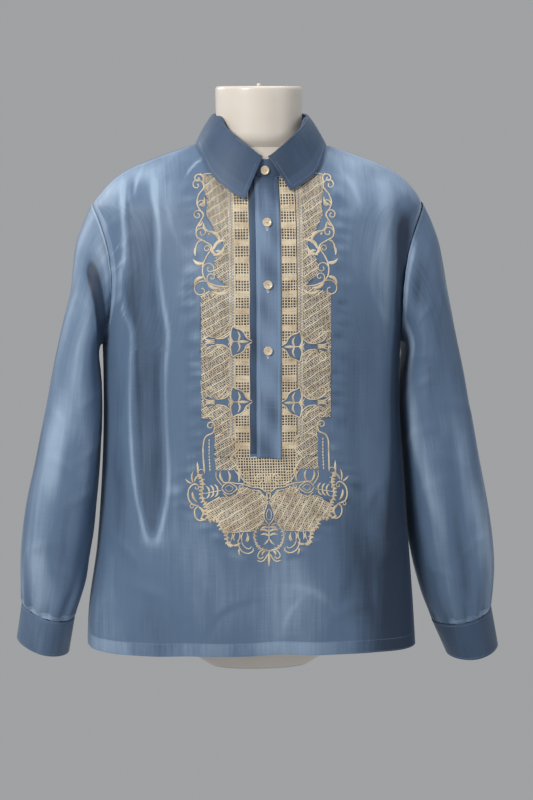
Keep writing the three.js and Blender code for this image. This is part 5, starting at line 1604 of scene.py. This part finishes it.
def side_scrolls(needle):
    needle.cord((66, 270), (76, 268), (88.9, 265.4), width=1.5)
    for s, z in ((71, 269), (77, 268), (83, 266.8)):
        needle.leaf((s, z), (s + 4.6, z + 9.5), 2.7, 0.16)
        needle.leaf((s, z), (s + 5.2, z - 8.5), 2.7, -0.16)
    needle.cord((98, 277.3), (103, 278.6), (108.4, 275), (112.1, 268), (112.2, 257.1), (107.2, 249.4),
                (99.6, 247.8), width=2.2)
    needle.curl(107.5, 246.6, 4, 150, -1, 1)
    needle.curl(100.5, 273.5, 3.6, 110, 1, 0.8)
    needle.leaf((106.5, 267), (100.6, 252.5), 3.6, 0.12)
    needle.cord((98, 248), (103.5, 243), (104.4, 236), (102, 229.6), (96.5, 226.4), (89, 228.8), width=2.2)
    needle.leaf((98.5, 246), (95.5, 230), 4.2, -0.3)
    needle.leaf((96.5, 230.5), (88, 227.4), 3.6, 0.1)
    for row in (((97.3, 293), (97.6, 310), 3.2, 0.02), ((105, 280.5), (104, 297), 2.6, -0.1),
                ((107, 279.5), (115.4, 286), 2.6, -0.1), ((103, 282), (91.5, 290.8), 2.8, -0.2)):
        needle.leaf(*row)
    needle.cord((97.4, 296), (92, 300), (88.5, 297), width=1.2)


print("the cords, the heart and the side scrolls are drawn")

# %% Border and palm


def fringe(needle):
    """The scalloped border, worked as many short slanting stitches over a cord."""
    edge = through([(94, 292), (91, 279), (93, 268), (92, 256), (88, 249), (87, 238), (84, 229), (77, 229.5),
                    (71, 228), (69, 221), (66, 215), (60, 211.5), (59, 204), (57.5, 196), (51, 191)], 1.6)
    needle.lay(edge, 2, 0.5)
    out = np.stack([np.gradient(edge[:, 1]), -np.gradient(edge[:, 0])], -1)
    out /= -np.hypot(out[:, 0], out[:, 1])[:, None]
    for n, (s, z) in enumerate(edge):
        needle.loose_stitch(s, z, n * 2.4, 3 + 1.3 * math.sin(n * 1.9))
        if n % 3 == 0:
            needle.leaf((s, z), (s + out[n, 0] * 5.2, z + out[n, 1] * 5.2), 3, 0.1)
    needle.cord((60, 211), (48, 210), (36, 211), (23, 211.5), width=1.4)
    for n, s in enumerate((54, 49, 43.5, 38, 33)):
        needle.leaf((s, 198.5 - n * 0.4), (s - 1.5, 210), 2.3, 0.14 * (-1) ** n)
    needle.leaf((51.5, 190.4), (60, 194.4), 4, -0.1)
    needle.leaf((50, 190.8), (40.5, 194.6), 3.4, 0.1)
    needle.cord((44, 199), (42.6, 190), (38, 182.4), (29.5, 179.4), (22.5, 182.8), (22.8, 187.6), width=1.9)
    needle.cord((39, 197), (35.5, 190), (28.5, 186), (24.5, 189.4), width=1.6)
    needle.leaf((42.5, 186), (40.6, 176.6), 2.8, 0.1)
    needle.leaf((31, 196), (29, 206), 2.3, 0.1)


def palm(needle):
    """The teardrop, the round cartouche and the hanging palm below, one half of each."""
    needle.cord((0.2, 220.5), (5.5, 227), (7.2, 234), (5.6, 241.6), (3.4, 248), (5.8, 253.4), (9, 253),
                (9.6, 248.6), width=1.7)
    needle.cord((0.2, 243), (2.7, 239), (3.6, 233.4), (2.6, 228.6), (0.2, 226.6), width=1.3)
    needle.leaf((1.2, 257), (1.6, 268), 2.2, -0.1)
    needle.leaf((4.6, 259), (8.6, 265.4), 2.2, -0.1)
    needle.cord((3, 220), (9.5, 221.4), (15, 218.4), (17.8, 213), width=1.6)
    for z, reach, drop in ((216.5, 12.5, 3.4), (210.5, 13, -1.6), (204.6, 12, -1.2)):
        needle.leaf((1, z), (reach, z - drop), 3.2, 0.16)
    needle.leaf((1, 199.5), (8, 191.6), 2.6, -0.1)
    needle.cord((0.3, 221), (0.4, 208), (0.3, 198), width=1.2)
    arc = [(20.6 * math.cos(t), 203.5 + 20.6 * math.sin(t)) for t in np.radians(np.linspace(48, -90, 40))]
    needle.lay(arc, 1.8, 0.5)
    for n, (s, z) in enumerate(arc):
        needle.loose_stitch(s, z, n * 2.4, 2.4 + 0.9 * math.sin(n * 1.7))
    needle.cord((1.5, 183), (8, 184.6), (13.5, 181), (15.8, 175), (12, 171.4), (7.5, 174.6), width=1.9)
    needle.cord((2, 178), (5.4, 171.4), (10.5, 167.4), (16.6, 169), width=2)
    needle.leaf((5.5, 182.5), (9.5, 176), 3, 0.2)
    needle.leaf((0.4, 181), (0.4, 160.6), 3, 0)


print("the border and the palm are drawn")

# %% Working the thread pieces
for side, name in SIDES:
    threads = Threads("gold_threads_" + name)
    needle = Needle(threads, side)
    net_lines(needle, DRAWN_FOOT, NET_TOP)
    squares(needle, DRAWN_FOOT, 704)
    for s0 in (44.6, 51):
        z = np.arange(345, 707, 2.2)
        cut_runs(needle, s0 + 0.2 * np.sin(z), z, ~in_cartouche(side, s0 + 0 * z, z, 1.0), 1.3, 0.6)
    for n, z in enumerate(np.arange(346, 705, PITCH / 2)):
        s = np.linspace(44, 51.4, 4)
        cut_runs(needle, s, z + 0 * s, ~in_cartouche(side, s, z + 0 * s, 1.0), 0.8, 0.4)
        if not in_cartouche(side, np.array([47.8]), np.array([z]), 2.0)[0]:
            needle.knot(46.4 if n % 2 else 49.2, z, 2.2, 0.75)
    for centre in CARTOUCHE_AT[side]:
        cartouche(needle, centre)
    vine(needle)
    hand_over(threads.make(silk), f"embroidery_{name}_band", slot="thread")

threads = Threads("gold_threads_lower")
for side in (-1, 1):
    needle = Needle(threads, side)
    net_lines(needle, 298, DRAWN_FOOT)
    net_lines(needle, 205, 278)
    squares(needle, 262, 316.5)
    cords_above(needle)
    heart(needle)
    side_scrolls(needle)
    fringe(needle)
    palm(needle)
hand_over(threads.make(silk), "embroidery_lower_piece", slot="thread")

# %% [markdown]
# ## The ground under the thread work
# Between the bundled threads the drawn cloth is open, and the shade behind it shows. The front gets one
# more value for each vertex, which tells its finish where that ground is, and the finish paints that
# ground dark as painted shade.

# %% Ground of the calado and the net
where = coordinates(front.piece) / MM - [0, 0, HEM_LIFT]
x, z = where[:, 0], where[:, 2]
s = np.abs(x - centre_line(z))
drawn = np.zeros(len(x))
NET_SHADE, SQUARES_SHADE = 0.62, 0.92
for side in (-1, 1):
    here = (x * side > 0) & (where[:, 1] < 0)
    drawn[here & in_net(side, s, z)] = NET_SHADE
    drawn[here & in_squares(side, s, z)] = SQUARES_SHADE
ground = front.piece.data.attributes.new("drawn", "FLOAT", "POINT")
ground.data.foreach_set("value", drawn.astype(np.float32))
print(round(float((drawn > 0).mean()) * 100), "% of the front's vertices lie under thread work")

# %% [markdown]
# ## Buttons
# The buttons are turned from river shell, with a raised rim, a shallow dish and four holes, and are sewn on
# with a crossed thread over a short shank. One is modelled from a cylinder: its top is inset and lowered
# twice for the dish, its edges are bevelled, and the holes are cut with a boolean. The others are copies,
# each turned to face the way the cloth faces at its place.

# %% One shell button


def join(*pieces):
    bpy.ops.object.select_all(action="DESELECT")
    for piece in pieces:
        piece.select_set(True)
    bpy.context.view_layer.objects.active = pieces[0]
    bpy.ops.object.join()
    return pieces[0]


half = BUTTON_THICKNESS / 2
blank = cylinder("button_blank", BUTTON_RADIUS, BUTTON_THICKNESS, sides=56)


def middle_of_top(faces):
    return [min((f for f in faces if f.normal.z > 0.99), key=lambda f: f.center.xy.length)]


for inset, drop in ((1.3, 0.0), (0.5, 0.45), (1.6, 0.25)):
    pick_faces(blank, middle_of_top)
    bpy.ops.mesh.inset(thickness=inset * MM)
    bpy.ops.transform.translate(value=(0, 0, -drop * MM))
    bpy.ops.object.mode_set(mode="OBJECT")
modify(blank, "BEVEL", width=0.45 * MM, segments=3, limit_method="ANGLE", angle_limit=0.6)
drills = [cylinder(f"drill_{n}", 0.62, 6, (1.35 * math.cos(a), 1.35 * math.sin(a), 0), 18)
          for n, a in enumerate(np.radians([45, 135, 225, 315]))]
drill = join(*drills)
modify(blank, "BOOLEAN", operation="DIFFERENCE", object=drill, solver="EXACT")
bpy.data.objects.remove(drill)
smooth_shading(blank, 35)
blank.data.materials.clear()
blank.data.materials.append(shell.material)
print("one button:", triangles(blank), "triangles")

# %% Its thread, and the six copies
stitches = [cylinder("shank", 1.1, 0.5, (0, 0, -half - 0.2), 16)]
for n, a in enumerate((45, 135)):
    across = (math.pi / 2, 0, math.radians(a))
    stitches.append(cylinder(f"tie_{n}", 0.36, 3.1, (0, 0, half - 0.32 + 0.2 * n), 12, across))
tie = join(*stitches)
modify(tie, "BEVEL", width=0.2 * MM, segments=2, limit_method="ANGLE", angle_limit=0.9)
for item in tie.data.uv_layers.active.data:
    item.uv = item.uv * 0.004
smooth_shading(tie, 60)
tie.data.materials.append(silk)
button = join(blank, tie)

BUTTON_X = 1.0
BUTTON_SEATS = {"button_upper": 644.0, "button_middle": 559.0, "button_lower": 467.0}
for solid in (*BUTTON_SEATS, "button_collar", "cuff_button_right", "cuff_button_left"):
    low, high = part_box(solid)
    centre = (np.array(low) + np.array(high)) / 2
    place = centre / MM - [0, 0, HEM_LIFT]
    if solid in BUTTON_SEATS:
        _, facing_way = on_front(BUTTON_X, BUTTON_SEATS[solid], 0.0)
    elif solid == "button_collar":
        foot, top = stand_point(np.array([180.0, 180.0]), np.array([0.0, 1.0]))
        slope = top - foot
        facing_way = unit(np.array([0, -slope[2], slope[1]]))
    else:
        band = cuffs[1 if place[0] > 0 else -1]
        gaps = np.linalg.norm(band.points - place, axis=-1)
        facing_way = band.normals[np.unravel_index(gaps.argmin(), gaps.shape)]
    copy = button.copy()
    copy.data = button.data.copy()
    bpy.context.collection.objects.link(copy)
    copy.name = copy.data.name = "shell_" + solid
    turned = Vector(facing_way).to_track_quat("Z", "Y").to_matrix().to_4x4()
    copy.data.transform(Matrix.Translation(Vector(centre)) @ turned)
    hand_over(copy, solid, slot="shell")
bpy.data.objects.remove(button)
print("six buttons are sewn on")

# %% [markdown]
# ## Stitching
# Every edge that a machine has sewn shows a row of small stitches: along the hem, the vents, the cuffs, the
# collar, the placket and beside each seam. A row is laid along a path on its own piece of cloth, in shares
# across and up that piece, and cut into stitches 2.6 mm apart.

# %% Rows of stitches
FINE_PITCH = 2.3


def share_at(cloth, distance, u, from_top=False):
    """How far up the piece a line lies that keeps a distance from its lower or upper edge."""
    up, down, _ = distances(cloth.points)
    gap = down[::-1] if from_top else up
    rows, columns = gap.shape
    share = [np.interp(distance, gap[:, int(round(a * (columns - 1)))], np.linspace(0, 1, rows)) for a in u]
    return 1 - np.array(share) if from_top else np.array(share)


def sew(threads, cloth, u, v, pitch, length=1.8, width=0.6):
    """Lays one row of stitches along a path on a piece of cloth."""
    u, v = (np.asarray(a, float) for a in np.broadcast_arrays(u, v))
    gone = gone_along(cloth.at(u, v)[0])
    for start in np.arange(0.6, gone[-1] - length, pitch):
        at = np.linspace(start, start + length, 3)
        swell = np.array([0.55, 1, 0.55])
        place = np.interp(at, gone, u), np.interp(at, gone, v)
        threads.lay(*place, width * swell, 0.34 * swell, out=-0.04, sides=4)


def stitch(name, cloth, rows, pitch=2.6):
    """Sews rows, each a path in shares across and up the cloth, as one piece."""
    threads = Threads("stitches_" + name)
    for u, v in rows:
        sew(threads, cloth, u, v, pitch)
    piece = threads.make(blue_thread, lambda u, v, out: cloth.at(u, v, out[..., None]))
    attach(piece, "root")


print("stitches are 2.6 mm apart on the shirt and", FINE_PITCH, "mm on stiffened pieces")

# %% Stitches of the shirt
long_way, vent = np.linspace(0.004, 0.996, 160), np.linspace(0.03, 0.2, 40)
shoulders = np.linspace(0.02, 0.33, 50), np.linspace(0.67, 0.98, 50)
for name, made in (("front", front), ("back", back)):
    rows = [(long_way, share_at(made, off, long_way)) for off in (18, 1.6)]
    rows += [(edge, vent) for edge in (0.02, 0.98)]
    rows += [(u, share_at(made, 3, u, from_top=True)) for u in shoulders]
    stitch(name, made, rows)
around, along = np.linspace(0, 0.999, 160), np.linspace(0.012, 0.988, 120)
for side, name in SIDES:
    rows = [(around, share_at(sleeves[side], 3.2, around, from_top=True))]
    stitch("sleeve_" + name, sleeves[side], rows)
    rows = [(along, v) for v in (0.05, 0.95)]
    rows += [(u, np.linspace(0.06, 0.94, 12)) for u in (0.012, 0.988)]
    stitch("cuff_" + name, cuffs[side], rows, FINE_PITCH)

# %% Stitches of the collar and the placket
along = np.linspace(0.008, 0.992, 200)
rows = [(along, share_at(leaf, 5, along, from_top=True))]
rows += [(u, np.linspace(0.35, 0.92, 20)) for u in (0.008, 0.992)]
stitch("leaf", leaf, rows, FINE_PITCH)
stitch("stand", stand, [(np.linspace(0.01, 0.99, 200), 0.06)], FINE_PITCH)
rows = [(u, np.linspace(0.004, 0.985, 200)) for u in (0.04, 0.17, 0.83, 0.96)]
rows += [(np.linspace(0.06, 0.94, 20), v) for v in (0.012, 0.16, 0.185)]
stitch("placket", over, rows)

# %% Buttonholes
pale_thread = thread_finish("pale_thread", linear(120, 144, 172), linear(158, 180, 205),
                            linear(196, 212, 228), 0.0006)
holes = Threads("buttonholes")
on_placket = PLACKET_OUT + PLACKET_CLOTH - 0.1
for z in BUTTON_SEATS.values():
    turn = np.linspace(0, 2 * np.pi, 40)
    holes.lay(BUTTON_X + 1.5 * np.cos(turn), z - 3.6 + 7.4 * np.sin(turn), 1.5, 0.5, out=on_placket)
holes = holes.make(pale_thread)
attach(holes, "root")

# %% [markdown]
# ## Light, floor and camera
# A pale room with one large soft light from the upper left, a weaker one from the right and a soft top
# light shows the folds without hard shadows. The camera stands where the photographer stood: a little to
# the wearer's right, above chest height, and turned slightly down.

# %% Studio
bpy.context.scene.view_settings.view_transform = "Standard"
world = bpy.data.worlds.new("pale_room")
bpy.context.scene.world = world
world.use_nodes = True
world.node_tree.nodes["Background"].inputs["Color"].default_value = linear(236, 238, 240)
world.node_tree.nodes["Background"].inputs["Strength"].default_value = 0.42


def soft_light(name, energy, size, at, target=(0, 0, 0.45), colour=(255, 255, 255)):
    bpy.ops.object.light_add(type="AREA", location=at)
    light = bpy.context.object
    light.name = name
    light.data.shape = "DISK"
    light.data.energy, light.data.size = energy, size
    light.data.color = linear(*colour)[:3]
    light.rotation_euler = (Vector(target) - Vector(at)).to_track_quat("-Z", "Y").to_euler()


soft_light("key", 56, 0.9, (-1.7, -2.0, 1.9), colour=(255, 252, 246))
soft_light("fill", 6, 1.6, (2.2, -1.6, 1.1), colour=(246, 249, 255))
soft_light("top", 12, 1.4, (0.3, 0.3, 2.3))
soft_light("rim", 12, 0.8, (-1.6, 1.3, 1.5))

yaw, tilt = math.radians(5.191), math.radians(7.595)
forward = Vector((math.sin(yaw) * math.cos(tilt), math.cos(yaw) * math.cos(tilt), -math.sin(tilt)))
bpy.ops.object.camera_add(location=(-0.2876, -3.2874, 0.832))
camera = bpy.context.object
camera.name = "photo_camera"
camera.rotation_euler = forward.to_track_quat("-Z", "Y").to_euler()
camera.data.lens, camera.data.sensor_width = 102.6, 36
camera.data.dof.use_dof = False
bpy.context.scene.camera = camera
print("the camera looks down by", round(math.degrees(tilt), 1), "degrees")
